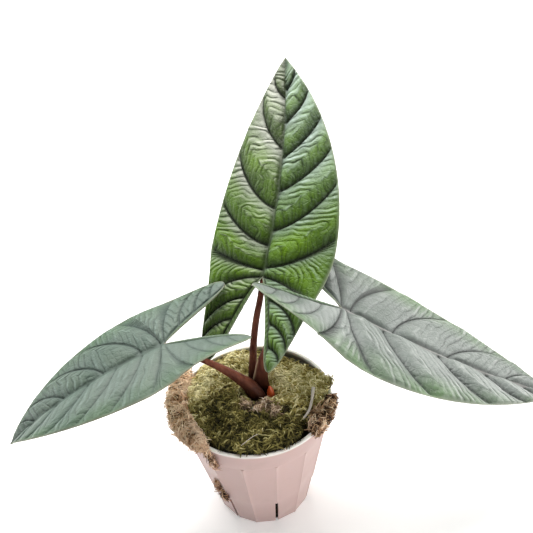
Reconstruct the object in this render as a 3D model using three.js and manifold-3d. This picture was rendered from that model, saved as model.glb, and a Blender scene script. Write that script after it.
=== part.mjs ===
import * as THREE from 'three';
import { mergeVertices } from 'three/addons/utils/BufferGeometryUtils.js';
import Module from 'manifold-3d';

const wasm = await Module();
wasm.setup();

// Sizes in millimetres, +Z up, origin at the centre of the pot's base.

const DEG = Math.PI / 180;
const GAP = 0.35;

// Pot: a cone of flat panels below a plain collar with a rolled lip
const POT_HEIGHT = 80;
const BASE_RADIUS = 28;
const FLARE = 0.2197;
const COLLAR_Z = 66;
const COLLAR_RADIUS = 42.5;
const RIM_RADIUS = 45;
const FACETS = 14;
const FACET = 360 / FACETS;
const CORNER_PHASE = -77.7;
const PANEL_RECESS = 0.3;
const WALL = 1.3;
const FLOOR = 1.6;
const FOOT_CHAMFER = 0.8;
const STEP_Z = 25;
const STEP = 0.25;
const SLITS = FACETS / 2;
const SLIT_WIDTH = 1.8;
const SLIT_HEIGHT = 23;

// Growing mix and moss; edge stations of the moss are [degrees, radius, height]
const MIX_TOP = 70;
const MOSS_CROWN = 86;
const MOSS_LUMP = 1.1;
const STALK_HOLLOW = { x: 4, y: -1, depth: 4.6, spread: 85 };
const MOSS_EDGE = [
  [-180, 37.5, 84.5], [-160, 37.5, 84.5], [-140, 39, 83.5], [-125, 42, 82.2], [-110, 43, 81.9],
  [-90, 43.2, 81.9], [-62, 43, 81.8], [-46, 38.5, 81.5], [-30, 36.5, 82], [-14, 40, 83],
  [-3, 43, 84], [5, 46, 84.6], [13, 42.5, 83.6], [30, 38.5, 82.5], [50, 37.5, 81.5],
  [70, 38.5, 79.5], [90, 41, 77.6], [120, 41, 79], [150, 39, 83], [180, 37.5, 84.5],
];

// Coir over the rim: angles of its two ends, and reach, rise and droop there in turn
const COIR_LEFT = {
  from: 146, to: 232, steps: 22, reach: [50.4, 48], rise: [5.2, 4.2], droop: [6.5, 3.5], seed: 3,
};
const COIR_RIGHT = {
  from: -47, to: -8, steps: 12, reach: [47.6, 46.8], rise: [3.4, 3.4], droop: [2.4, 1.4], seed: 11,
};
// Crumbs on the outside of the pot: stations are [degrees, height, radius]
const COIR_TRAIL = [[-129, 79.5, 1.3], [-125.5, 75, 1.2], [-124.3, 69, 0.9], [-125, 63, 0.6]];
const COIR_SIDE = [[-137.5, 40, 0.6], [-135, 36, 1.1], [-131.5, 30, 1.1], [-128.5, 25, 0.6]];

// Swept pieces: stations are [x, y, z, half width, half depth]
const STALKS = {
  centre: {
    wide: new THREE.Vector3(1, 0, 0),
    path: [
      [0.6, 6.6, 72, 2.2, 2.2], [0.3, 6.5, 84, 2.4, 2.4], [0.2, 6.6, 92, 2.3, 2.3], [1.5, 9, 100.7, 2.1, 2.1],
      [2.6, 13, 108.5, 2, 2], [5.6, 18, 122.7, 1.9, 1.9], [8.9, 22, 133.6, 1.8, 1.8],
      [10.9, 24.8, 141.6, 1.7, 1.7], [12.2, 27.4, 145.9, 1.4, 1.4], [14.3, 31.7, 149.9, 0.7, 0.7],
    ],
  },
  left: {
    wide: new THREE.Vector3(0, 1, 0),
    path: [
      [2.9, -3.4, 72, 3.8, 4.2], [2.6, -3.2, 81, 4.4, 4.9], [-1.2, -2, 90, 4, 4.2],
      [-6.7, -1.2, 96.4, 3.1, 3.2], [-11.8, -1, 101.8, 2.5, 2.6], [-18, -1, 107.6, 2, 2],
      [-24.7, -1, 112.9, 1.7, 1.7], [-34.8, -1, 120.4, 1.6, 1.6], [-41.8, -1.1, 124.9, 1.5, 1.5],
      [-45.5, -1.1, 126.2, 1.3, 1.3], [-51, -2.2, 125, 0.7, 0.7],
    ],
  },
  right: {
    wide: new THREE.Vector3(1, 0, 0),
    path: [
      [6.3, 3.2, 72, 3, 3], [5.6, 3, 84, 3.8, 3], [4.6, 3, 90, 4.3, 2.7], [5.4, 3.4, 96, 3.8, 2.6],
      [6.4, 4.4, 102, 3, 2.4], [8.2, 5.4, 107.6, 2.1, 2.1], [13.7, 7, 118.6, 1.9, 1.9],
      [23.3, 9, 126.4, 1.8, 1.8], [32.4, 9, 130.2, 1.8, 1.8], [42.3, 7, 133, 1.7, 1.7],
      [48.5, 5.2, 134.7, 1.6, 1.6], [52.5, 4.2, 135.1, 1.3, 1.3], [57.5, 3.2, 132.2, 0.7, 0.7],
    ],
  },
};
const BUD = [
  [9.8, -2.4, 77, 1.7, 1.7], [9.9, -2.3, 82, 2.4, 2.4], [9.8, -2, 86, 1.8, 1.8], [9.5, -1.7, 89, 0.6, 0.6],
];
const ROOTSTOCK = [[4, 2, 52, 2.5, 2.5], [4, 2, 58, 6, 5.5], [4, 2, 66, 7, 6], [4, 2, 71.2, 5, 4.5]];
const DRY_STRIP = [
  [34.4, -2.6, 85.8, 0.9, 0.5], [33, -10, 85.6, 0.9, 0.5], [30.3, -18.7, 84.4, 0.7, 0.45],
  [26.2, -24.6, 83.8, 0.45, 0.4],
];

// Blades: angles in degrees, lengths in millimetres. Pairs are for the left and the right half.
// The outline's ratios are of the length ahead of the stalk.
const OUTLINE = { width: 0.292, lobe: 0.381, spread: 0.043, waist: 0.93, widest: 0.12 };
// How wide a lobe is at its tip, and how that changes towards its root
const LOBE_TAPER = [0.93, -0.31, 0.38];
const BLADES = {
  centre: {
    at: [11.5, 25.5, 147], length: 137, yaw: 66.5, pitch: 39.5, roll: -8, droop: 6.5, sway: 19.5,
    twist: -9.5, fold: [3.5, 9], arch: [-24, -24], lobePitch: [6.5, 1], lobeFold: [2, 29.5],
    lobeYaw: [-1, 1], quilt: 1.6,
  },
  left: {
    at: [-45, -1, 128.5], length: 117, yaw: 191.5, pitch: -15.5, roll: -3.5, droop: 31, sway: -16.5,
    twist: -3.5, fold: [12.5, 14.5], arch: [-17, -34.5], lobePitch: [27.5, 4.5], lobeFold: [18, 3.5],
    lobeYaw: [-3, 6.5], quilt: 0.8,
  },
  right: {
    at: [53, 4, 137.5], length: 144.5, yaw: -10, pitch: -35, roll: -2.5, droop: -8, sway: 10,
    twist: 5, fold: [6.5, 8.5], arch: [-11.5, -18], lobePitch: [24, 12.5], lobeFold: [0.5, 17.5],
    lobeYaw: [-29, 3.5], quilt: 1.2,
  },
};

// Side veins of the lobes, then of each half ahead of the stalk: [start on the rib, end on the margin]
const LOBE_VEINS = [[-0.381, -0.381], [-0.285, -0.345], [-0.19, -0.3], [-0.095, -0.235], [0, -0.11]];
const VEINS = {
  centre: [
    [[0.03, 0.11], [0.135, 0.335], [0.295, 0.57], [0.56, 0.83], [0.8, 0.93]],
    [[0.04, 0.19], [0.2, 0.41], [0.37, 0.55], [0.52, 0.69], [0.68, 0.82], [0.84, 0.93]],
  ],
  left: [
    [[0.02, 0.11], [0.12, 0.32], [0.26, 0.5], [0.42, 0.68], [0.62, 0.84], [0.81, 0.93]],
    [[0.02, 0.23], [0.12, 0.51], [0.33, 0.74], [0.57, 0.87], [0.79, 0.94]],
  ],
  right: [
    [[0.04, 0.25], [0.235, 0.51], [0.48, 0.78], [0.75, 0.91]],
    [[0.02, 0.155], [0.19, 0.39], [0.44, 0.65], [0.66, 0.83], [0.84, 0.94]],
  ],
};
const TIP = [1, 1];
const ROW_STEP = 0.042;
const LOBE_TIP_ROWS = [0, 0.04, 0.14, 0.33, 0.62];
const ACROSS = [0, 0.06, 0.2, 0.36, 0.52, 0.68, 0.84, 1];
const BLADE_THICKNESS = 0.7;
const KEEL = 1.1;
const SPINE_STEPS = 60;
const BLADE_CLEARANCE = 0.3;

// Bodies from vertices

function body(points, faces) {
  const geometry = new THREE.BufferGeometry();
  const flat = points.flatMap((p) => [p.x, p.y, p.z]);
  geometry.setAttribute('position', new THREE.Float32BufferAttribute(flat, 3));
  geometry.setIndex(faces.flat());
  return geometry;
}

function polar(radius, degrees, z) {
  return new THREE.Vector3(radius * Math.cos(degrees * DEG), radius * Math.sin(degrees * DEG), z);
}

// Rings of equal count joined one after another, both ends closed by a fan.
function loft(rings, firstCentre, lastCentre) {
  const count = rings[0].length;
  const points = rings.flat();
  const faces = [];
  for (let i = 0; i + 1 < rings.length; i += 1) {
    for (let j = 0; j < count; j += 1) {
      const k = (j + 1) % count;
      const a = i * count + j;
      const b = i * count + k;
      const c = (i + 1) * count + k;
      const d = (i + 1) * count + j;
      faces.push([a, b, c], [a, c, d]);
    }
  }
  const first = points.push(firstCentre) - 1;
  const last = points.push(lastCentre) - 1;
  const top = (rings.length - 1) * count;
  for (let j = 0; j < count; j += 1) {
    const k = (j + 1) % count;
    faces.push([first, k, j]);
    faces.push([last, top + j, top + k]);
  }
  return body(points, faces);
}

// An oval section along a smooth curve through the stations; half widths lie along the given direction.
function sweep(stations, wide, sides, steps, grow = 0) {
  const curve = new THREE.CatmullRomCurve3(stations.map((s) => new THREE.Vector3(s[0], s[1], s[2])));
  const last = stations.length - 1;
  const rings = [];
  for (let i = 0; i <= steps; i += 1) {
    const t = i / steps;
    const centre = curve.getPoint(t);
    const along = curve.getTangent(t);
    const side = wide.clone().addScaledVector(along, -wide.dot(along)).normalize();
    const up = new THREE.Vector3().crossVectors(along, side);
    const at = Math.min(last - 1, Math.floor(t * last));
    const f = t * last - at;
    const a = THREE.MathUtils.lerp(stations[at][3], stations[at + 1][3], f) + grow;
    const b = THREE.MathUtils.lerp(stations[at][4], stations[at + 1][4], f) + grow;
    const ring = [];
    for (let j = 0; j < sides; j += 1) {
      const angle = 2 * Math.PI * j / sides;
      ring.push(centre.clone()
        .addScaledVector(side, a * Math.cos(angle))
        .addScaledVector(up, b * Math.sin(angle)));
    }
    rings.push(ring);
  }
  const start = curve.getPoint(0).addScaledVector(curve.getTangent(0), -grow);
  const end = curve.getPoint(1).addScaledVector(curve.getTangent(1), grow);
  return loft(rings, start, end);
}

// Cuts and joins

function toManifold(source) {
  const plain = source.clone();
  plain.deleteAttribute('normal');
  plain.deleteAttribute('uv');
  const merged = mergeVertices(plain, 1e-5);
  const mesh = new wasm.Mesh({
    numProp: 3,
    vertProperties: new Float32Array(merged.attributes.position.array),
    triVerts: new Uint32Array(merged.index.array),
  });
  mesh.merge();
  return new wasm.Manifold(mesh);
}

function toGeometry(solid) {
  const mesh = solid.getMesh();
  const geometry = new THREE.BufferGeometry();
  geometry.setAttribute('position', new THREE.Float32BufferAttribute(mesh.vertProperties, 3));
  geometry.setIndex(Array.from(mesh.triVerts));
  return geometry;
}

// The largest piece that is left of the source once the tools are taken from it.
function cut(source, tools) {
  let solid = toManifold(source);
  for (const tool of tools) {
    solid = solid.subtract(toManifold(tool));
  }
  const pieces = solid.decompose().sort((a, b) => b.volume() - a.volume());
  return toGeometry(pieces[0]);
}

function join(sources) {
  const solids = sources.map(toManifold);
  return toGeometry(solids.reduce((whole, solid) => whole.add(solid)));
}

// Smooth repeatable noise between -1 and 1

function hash(i, j, k) {
  const s = Math.sin(i * 127.1 + j * 311.7 + k * 74.7) * 43758.5453;
  return 2 * (s - Math.floor(s)) - 1;
}

function noise(x, y, z) {
  const i = Math.floor(x);
  const j = Math.floor(y);
  const k = Math.floor(z);
  const ease = (t) => t * t * (3 - 2 * t);
  const u = ease(x - i);
  const v = ease(y - j);
  const w = ease(z - k);
  let total = 0;
  for (let n = 0; n < 8; n += 1) {
    const a = n & 1;
    const b = (n >> 1) & 1;
    const c = n >> 2;
    total += hash(i + a, j + b, k + c) * (a ? u : 1 - u) * (b ? v : 1 - v) * (c ? w : 1 - w);
  }
  return total;
}

// Pot

function taper(z) {
  return BASE_RADIUS + FLARE * z;
}

// Radius of the panelled wall: flat between corners, with a slight recess inside every panel.
function panelRadius(degrees, z) {
  const turned = ((degrees - CORNER_PHASE) % FACET + FACET) % FACET;
  const fromMiddle = (turned - FACET / 2) * DEG;
  const recess = turned < 1 || turned > FACET - 1 ? 0 : PANEL_RECESS;
  return taper(z) * Math.cos(FACET / 2 * DEG) / Math.cos(fromMiddle) - recess;
}

function insideRadius(degrees, z) {
  return panelRadius(degrees, z) - WALL;
}

const POT_ANGLES = [];
for (let i = 0; i < FACETS; i += 1) {
  for (const fraction of [0, 0.06, 0.35, 0.65, 0.94]) {
    POT_ANGLES.push(CORNER_PHASE + (i + fraction) * FACET);
  }
}

function potRing(z, radius) {
  return POT_ANGLES.map((degrees) => {
    const r = typeof radius === 'function' ? radius(degrees, z) : radius;
    return polar(r, degrees, z);
  });
}

// Outer profile of collar and lip: [height, radius]
const COLLAR = [
  [COLLAR_Z, COLLAR_RADIUS], [77.2, 44], [77.7, RIM_RADIUS - 0.1], [79.3, RIM_RADIUS],
  [POT_HEIGHT, RIM_RADIUS - 0.6],
];

function makePot() {
  const rings = [
    potRing(0, (d) => panelRadius(d, 0) - FOOT_CHAMFER),
    potRing(FOOT_CHAMFER, panelRadius),
    potRing(STEP_Z - 0.4, panelRadius),
    potRing(STEP_Z, (d, z) => panelRadius(d, z) + STEP),
    potRing(COLLAR_Z - 0.4, (d, z) => panelRadius(d, z) + 0.1),
    ...COLLAR.map(([z, r]) => potRing(z, r)),
    potRing(POT_HEIGHT, RIM_RADIUS - 1.8),
    potRing(POT_HEIGHT - 0.5, RIM_RADIUS - 2.3),
    potRing(COLLAR_Z, COLLAR_RADIUS - 1.5),
    potRing(COLLAR_Z - 4, insideRadius),
    potRing(FLOOR, insideRadius),
  ];
  const shell = loft(rings, new THREE.Vector3(0, 0, 0), new THREE.Vector3(0, 0, FLOOR));
  const slits = [];
  for (let i = 0; i < SLITS; i += 1) {
    const box = new THREE.BoxGeometry(20, SLIT_WIDTH, SLIT_HEIGHT + 1);
    box.translate(BASE_RADIUS + 2, 0, (SLIT_HEIGHT + 1) / 2 - 1);
    box.rotateZ((CORNER_PHASE + 2 * FACET * i) * DEG);
    slits.push(box);
  }
  return cut(shell, slits);
}

// The outside of the pot grown by the gap, for trimming what hangs on it.
function potEnvelope() {
  const wall = (d, z) => panelRadius(d, z) + STEP + GAP;
  const top = POT_HEIGHT + GAP + 0.05;
  const rings = [
    potRing(-1, wall),
    potRing(COLLAR_Z - 0.6, wall),
    ...COLLAR.map(([z, r]) => potRing(z < POT_HEIGHT - 1 ? z - GAP : z + GAP, r + GAP)),
    potRing(top, RIM_RADIUS - 3),
  ];
  return loft(rings, new THREE.Vector3(0, 0, -1), new THREE.Vector3(0, 0, top));
}

// Growing mix below the moss

function makeMix() {
  const inside = (d, z) => insideRadius(d, z) - GAP;
  const rings = [
    potRing(FLOOR + GAP, inside),
    potRing(POT_HEIGHT * 0.375, inside),
    potRing(COLLAR_Z - 6, inside),
    potRing(MIX_TOP - 4, (d) => Math.min(inside(d, COLLAR_Z - 5), 40)),
    potRing(MIX_TOP, 39.2),
  ];
  return loft(rings, new THREE.Vector3(0, 0, FLOOR + GAP), new THREE.Vector3(0, 0, MIX_TOP));
}

// Moss

function mossEdge(degrees) {
  const d = ((degrees + 180) % 360 + 360) % 360 - 180;
  let i = 0;
  while (i + 2 < MOSS_EDGE.length && MOSS_EDGE[i + 1][0] < d) {
    i += 1;
  }
  const a = MOSS_EDGE[i];
  const b = MOSS_EDGE[i + 1];
  const t = THREE.MathUtils.smoothstep(d, a[0], b[0]);
  return [THREE.MathUtils.lerp(a[1], b[1], t), THREE.MathUtils.lerp(a[2], b[2], t)];
}

// A domed, lumpy top that sinks around the feet of the stalks; fraction runs from the middle to the edge.
function mossTop(degrees, fraction) {
  const [edge, height] = mossEdge(degrees);
  const p = polar(edge * fraction, degrees, height);
  const { x, y, depth, spread } = STALK_HOLLOW;
  const dome = (MOSS_CROWN - height) * (1 - fraction * fraction);
  const hollow = depth * Math.exp(-((p.x - x) ** 2 + (p.y - y) ** 2) / spread);
  const lump = MOSS_LUMP * noise(p.x / 6.5 + 9, p.y / 6.5 + 4, 2) + 0.5 * noise(p.x / 3, p.y / 3, 7);
  p.z += dome - hollow + lump * (1 - 0.35 * fraction ** 6);
  return p;
}

function makeMoss() {
  const count = 54;
  const angles = Array.from({ length: count }, (_, j) => -180 + 360 * j / count);
  const wall = (reach, height) => angles.map((degrees) => {
    const [edge, top] = mossEdge(degrees);
    const z = Math.min(height, top - (POT_HEIGHT + 0.9 - height) * 0.5 - 0.5);
    return polar(Math.min(edge, reach), degrees, z);
  });
  const rings = [
    wall(40.6, MIX_TOP + GAP), wall(41.6, POT_HEIGHT - 4.5), wall(42.2, POT_HEIGHT - 0.1),
    wall(Infinity, POT_HEIGHT + 0.75),
  ];
  for (const fraction of [0.975, 0.9, 0.8, 0.68, 0.56, 0.44, 0.32, 0.2, 0.1]) {
    rings.push(angles.map((degrees) => mossTop(degrees, fraction)));
  }
  return loft(rings, new THREE.Vector3(0, 0, MIX_TOP + GAP), mossTop(0, 0));
}

// Coir: a roll that lies over the rim between two angles, thinner at both ends
function coirRoll({ from, to, steps, reach, rise, droop, seed }) {
  const LIP = { radius: 45.9, z: 80.9 };
  const rings = [];
  for (let i = 0; i <= steps; i += 1) {
    const t = i / steps;
    const degrees = THREE.MathUtils.lerp(from, to, t);
    const far = THREE.MathUtils.lerp(...reach, t);
    const high = THREE.MathUtils.lerp(...rise, t);
    const low = THREE.MathUtils.lerp(...droop, t);
    const near = Math.min(mossEdge(degrees)[0] + 0.9, RIM_RADIUS);
    const fat = Math.min(1, 0.25 + 2.4 * Math.sin(Math.PI * t));
    const section = [
      [near, 80.5], [Math.min(near + 0.6, RIM_RADIUS), 80.5 + high * 0.6],
      [(near + RIM_RADIUS) / 2, 80.5 + high], [46.5, 80.4 + high * 0.95],
      [far - 0.6, POT_HEIGHT + high * 0.5], [far, 79], [far - 0.8, POT_HEIGHT - low * 0.55],
      [46.6, POT_HEIGHT - low], [45.6, POT_HEIGHT - low * 0.7], [45.5, 80.45],
    ];
    rings.push(section.map(([r, z], j) => {
      const bump = j >= 2 && j <= 7 ? noise(degrees / 5 + seed, j * 1.3, seed) : 0;
      const radius = LIP.radius + (r + bump - LIP.radius) * fat;
      return polar(radius, degrees, LIP.z + (z + 0.9 * bump - LIP.z) * fat);
    }));
  }
  const middle = (ring) => ring.reduce((sum, p) => sum.add(p), new THREE.Vector3()).divideScalar(ring.length);
  return loft(rings, middle(rings[0]), middle(rings[steps]));
}

// Crumbs that cling to the outside of the pot
function coirClump(stations, seed) {
  const path = stations.map(([degrees, z, radius]) => {
    const collar = z > 76.5 ? RIM_RADIUS : taper(z) + 0.1;
    const wall = z > COLLAR_Z ? collar : panelRadius(degrees, z) + STEP;
    const centre = polar(wall + GAP + radius, degrees, z);
    return [centre.x, centre.y, z, radius * 1.5, radius];
  });
  const out = new THREE.Vector3(path[0][0], path[0][1], 0).normalize();
  const wide = new THREE.Vector3().crossVectors(new THREE.Vector3(0, 0, 1), out);
  const clump = sweep(path, wide, 8, stations.length * 3);
  const position = clump.attributes.position;
  for (let i = 0; i < position.count; i += 1) {
    const p = new THREE.Vector3().fromBufferAttribute(position, i);
    const swell = 0.35 * (noise(p.x / 2 + seed, p.y / 2, p.z / 2) + 1);
    position.setXYZ(i, p.x + out.x * swell, p.y + out.y * swell, p.z);
  }
  return clump;
}

// Blades

// Width of a lobe along its length, from 1 at its root to 0 at its rounded tip.
function lobeTaper(q) {
  const rest = 1 - q;
  const [tip, middle, root] = LOBE_TAPER;
  return Math.sqrt(rest) * (tip + middle * rest + root * rest ** 2);
}

function lobeDepth(y) {
  return Math.min(1, Math.max(0, -y / OUTLINE.lobe));
}

function outerWidth(y) {
  const { width, spread, waist, widest } = OUTLINE;
  if (y < 0) {
    const q = lobeDepth(y);
    return width * waist / 2 * (1 + lobeTaper(q)) + spread * q;
  }
  if (y < widest) {
    return width * (1 - (1 - waist) * ((widest - y) / widest) ** 1.5);
  }
  return width * (1 - ((y - widest) / (1 - widest)) ** 1.95);
}

function innerWidth(y) {
  const { width, spread, waist } = OUTLINE;
  const q = lobeDepth(y);
  return width * waist / 2 * (1 - lobeTaper(q)) + spread * q;
}

// Distance of the rear rib from the midline: the midrib ahead of the stalk, inside the lobe behind it.
function ribAt(y) {
  const inner = innerWidth(y);
  return y < 0 ? inner + 0.25 * Math.sqrt(lobeDepth(y)) * (outerWidth(y) - inner) : 0;
}

// Directions along the midrib, across to the right, and up from the blade.
function bladeAxes(yaw, pitch, roll) {
  const along = new THREE.Vector3(
    Math.cos(yaw) * Math.cos(pitch), Math.sin(yaw) * Math.cos(pitch), Math.sin(pitch),
  );
  const level = new THREE.Vector3(Math.sin(yaw), -Math.cos(yaw), 0);
  const raised = new THREE.Vector3().crossVectors(level, along);
  const across = level.clone().multiplyScalar(Math.cos(roll)).addScaledVector(raised, -Math.sin(roll));
  const up = raised.clone().multiplyScalar(Math.cos(roll)).addScaledVector(level, Math.sin(roll));
  return { along, across, up };
}

// Maps distances across and along one half of a blade onto its folded, arched middle surface.
function halfBlade(leaf, side) {
  const index = side < 0 ? 0 : 1;
  const axesAt = (y) => {
    const a = Math.min(1, Math.max(0, y));
    const q = lobeDepth(y);
    return bladeAxes(
      (leaf.yaw + leaf.sway * a + leaf.lobeYaw[index] * q) * DEG,
      (leaf.pitch - leaf.droop * a + leaf.lobePitch[index] * q) * DEG,
      (leaf.roll + leaf.twist * a) * DEG,
    );
  };
  const run = (end) => {
    const spots = [new THREE.Vector3()];
    for (let i = 0; i < SPINE_STEPS; i += 1) {
      const middle = end * (i + 0.5) / SPINE_STEPS;
      spots.push(spots[i].clone().addScaledVector(axesAt(middle).along, end / SPINE_STEPS));
    }
    return spots;
  };
  const ahead = run(1);
  const behind = run(-OUTLINE.lobe);
  const spine = (y) => {
    const spots = y >= 0 ? ahead : behind;
    const t = (y >= 0 ? y : -y / OUTLINE.lobe) * SPINE_STEPS;
    const i = Math.min(SPINE_STEPS - 1, Math.floor(t));
    return spots[i].clone().lerp(spots[i + 1], t - i);
  };
  return (x, y) => {
    const fold = (leaf.fold[index] + leaf.lobeFold[index] * lobeDepth(y)) * DEG;
    const bend = leaf.arch[index] * DEG / OUTLINE.width;
    const out = (Math.sin(fold + bend * x) - Math.sin(fold)) / bend;
    const rise = (Math.cos(fold) - Math.cos(fold + bend * x)) / bend;
    const { across, up } = axesAt(y);
    return spine(y).addScaledVector(across, side * out).addScaledVector(up, rise)
      .multiplyScalar(leaf.length).add(new THREE.Vector3(...leaf.at));
  };
}

// Starts of the rows on the rib: every vein of both halves, and even steps between them.
function bladeRows(name) {
  const knots = [...LOBE_VEINS, ...VEINS[name].flat(), TIP].map(([start]) => start);
  const sorted = [...new Set(knots)].sort((a, b) => a - b);
  const rows = LOBE_TIP_ROWS.map((f) => THREE.MathUtils.lerp(sorted[0], sorted[1], f));
  for (let i = 1; i + 1 < sorted.length; i += 1) {
    const steps = Math.ceil((sorted[i + 1] - sorted[i]) / ROW_STEP);
    for (let n = 0; n < steps; n += 1) {
      rows.push(THREE.MathUtils.lerp(sorted[i], sorted[i + 1], n / steps));
    }
  }
  return [...rows, 1];
}

// Height of the quilting on a row, f of the way from one side vein to the next, at t from rib to margin.
function quiltLift(depth, start, f, t, quilt) {
  const room = Math.min(1, 3 * depth) * Math.min(1, 3 * (1 - start));
  const pillow = Math.sin(Math.PI * f) ** 2 - 0.45;
  const groove = 0.35 * Math.exp(-14 * t);
  return room * (quilt * pillow * Math.sin(Math.PI * Math.min(1, 1.15 * t)) ** 0.8 - groove);
}

function makeBlade(name, grow = 0) {
  const leaf = BLADES[name];
  const rows = bladeRows(name);
  const sheet = { points: [], lift: [], keel: [], faces: [] };
  const seen = new Map();
  for (const side of [-1, 1]) {
    const place = halfBlade(leaf, side);
    const veins = [...LOBE_VEINS, ...VEINS[name][side < 0 ? 0 : 1], TIP];
    const vertex = (x, y, lift, keel) => {
      const key = `${(side * x).toFixed(5)} ${y.toFixed(5)}`;
      if (!seen.has(key)) {
        seen.set(key, sheet.points.push(place(x, y)) - 1);
        sheet.lift.push(lift);
        sheet.keel.push(keel);
      }
      return seen.get(key);
    };
    const grid = rows.map((start) => {
      const panel = Math.min(veins.length - 2, veins.findLastIndex(([knot]) => knot <= start + 1e-9));
      const [lower, upper] = veins.slice(panel, panel + 2);
      const f = (start - lower[0]) / (upper[0] - lower[0]);
      const end = THREE.MathUtils.lerp(lower[1], upper[1], f);
      const curve = 1.65 - 0.5 * THREE.MathUtils.smoothstep(start, 0.1, 0.6);
      const row = ACROSS.map((t) => {
        const y = start + (end - start) * t ** curve;
        const rib = ribAt(start) * (1 - t) ** 2 + ribAt(y) * (1 - (1 - t) ** 2);
        const x = rib + t * (outerWidth(y) - rib);
        const lift = quiltLift(upper[1] - lower[0], start, f, t, leaf.quilt);
        const keel = KEEL * Math.exp(-((t / 0.05) ** 2)) * (1 - 0.75 * Math.abs(start));
        return vertex(x, y, lift, start < 0 ? 0.6 * keel : keel);
      });
      if (start >= 0) {
        return [row[0], row[0], ...row];
      }
      const inner = innerWidth(start);
      return [vertex(inner, start, 0, 0), vertex((inner + ribAt(start)) / 2, start, 0.25, 0), ...row];
    });
    for (let i = 0; i + 1 < grid.length; i += 1) {
      for (let j = 0; j + 1 < grid[i].length; j += 1) {
        const [a, b] = [grid[i][j], grid[i][j + 1]];
        const [d, c] = [grid[i + 1][j], grid[i + 1][j + 1]];
        for (const face of [[a, b, c], [a, c, d]]) {
          if (new Set(face).size === 3) {
            sheet.faces.push(side > 0 ? face : [face[0], face[2], face[1]]);
          }
        }
      }
    }
  }
  return thicken(sheet, grow);
}

// A closed plate around a sheet: the same triangles above and below, and a strip along the margin.
function thicken({ points, lift, keel, faces }, grow) {
  const normals = points.map(() => new THREE.Vector3());
  const owner = new Map();
  for (const [a, b, c] of faces) {
    const normal = new THREE.Vector3().crossVectors(
      points[b].clone().sub(points[a]), points[c].clone().sub(points[a]),
    );
    for (const v of [a, b, c]) {
      normals[v].add(normal);
    }
    for (const [p, q] of [[a, b], [b, c], [c, a]]) {
      owner.set(`${p} ${q}`, [p, q]);
    }
  }
  normals.forEach((normal) => normal.normalize());
  const half = BLADE_THICKNESS / 2 + grow;
  const shift = points.map(() => new THREE.Vector3());
  const rim = [];
  for (const [p, q] of owner.values()) {
    if (!owner.has(`${q} ${p}`)) {
      rim.push([p, q]);
      const out = new THREE.Vector3().crossVectors(points[q].clone().sub(points[p]), normals[p]).normalize();
      shift[p].add(out);
      shift[q].add(out);
    }
  }
  const offset = (i, height) => points[i].clone().addScaledVector(normals[i], height)
    .addScaledVector(shift[i], grow);
  const above = points.map((_, i) => offset(i, half + lift[i]));
  const below = points.map((_, i) => offset(i, -half + lift[i] - keel[i]));
  const count = points.length;
  const closed = [];
  for (const [a, b, c] of faces) {
    closed.push([a, b, c], [a + count, c + count, b + count]);
  }
  for (const [p, q] of rim) {
    closed.push([q, p, p + count], [q, p + count, q + count]);
  }
  return body([...above, ...below], closed);
}

// Small swept pieces

const EAST = new THREE.Vector3(1, 0, 0);

function stalk(name, grow = 0) {
  const { path, wide } = STALKS[name];
  return sweep(path, wide, 12, Math.round(path.length * 1.6), grow);
}

const bud = (grow = 0) => sweep(BUD, EAST, 10, 7, grow);
const rootstock = (grow = 0) => sweep(ROOTSTOCK, EAST, 12, 6, grow);
const strip = (grow = 0) => sweep(DRY_STRIP, EAST, 8, 8, grow);

// Colours

const paint = (colour, roughness) => new THREE.MeshStandardMaterial({ color: colour, roughness });
const MATERIALS = {
  pot: paint('#d8cac4', 0.5),
  mix: paint('#3b2a1e', 0.95),
  moss: paint('#75743c', 0.95),
  coir: paint('#a5835c', 0.95),
  stalk: paint('#4a1c1c', 0.45),
  bud: paint('#a83c1c', 0.5),
  strip: paint('#b9a28f', 0.8),
  centre: paint('#3f6b2c', 0.4),
  left: paint('#7f9d8b', 0.45),
  right: paint('#90a398', 0.45),
};

// Assembly

const group = new THREE.Group();
group.name = 'potted_arrow_leaf_plant';

function add(name, geometry, material) {
  const mesh = new THREE.Mesh(geometry, MATERIALS[material]);
  mesh.name = name;
  group.add(mesh);
}

// Each stalk stops short of its own blade and of the stalks that wrap it.
function makeStalk(name, neighbours) {
  const grown = neighbours.map((other) => stalk(other, GAP));
  return cut(stalk(name), [makeBlade(name, BLADE_CLEARANCE), rootstock(GAP), ...grown]);
}

const grownStalks = Object.keys(STALKS).map((name) => stalk(name, GAP));
const plant = [...grownStalks, rootstock(GAP), bud(GAP)];

add('pot', makePot(), 'pot');
add('growing_mix', cut(makeMix(), plant), 'mix');
add('moss_cover', cut(makeMoss(), [...plant, strip(GAP)]), 'moss');
add('coir_left', cut(join([coirRoll(COIR_LEFT), coirClump(COIR_TRAIL, 5)]), [potEnvelope()]), 'coir');
add('coir_right', cut(coirRoll(COIR_RIGHT), [potEnvelope()]), 'coir');
add('coir_side', coirClump(COIR_SIDE, 8), 'coir');
add('dry_strip', strip(), 'strip');
add('rootstock', rootstock(), 'mix');
add('shoot_bud', cut(bud(), [...grownStalks, rootstock(GAP)]), 'bud');
add('stalk_centre', makeStalk('centre', ['right']), 'stalk');
add('stalk_left', makeStalk('left', ['right', 'centre']), 'stalk');
add('stalk_right', makeStalk('right', []), 'stalk');
add('blade_centre', makeBlade('centre'), 'centre');
add('blade_left', makeBlade('left'), 'left');
add('blade_right', makeBlade('right'), 'right');

export default group;
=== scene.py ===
import math

import bpy
import numpy as np
from mathutils import Matrix, Vector


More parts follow.
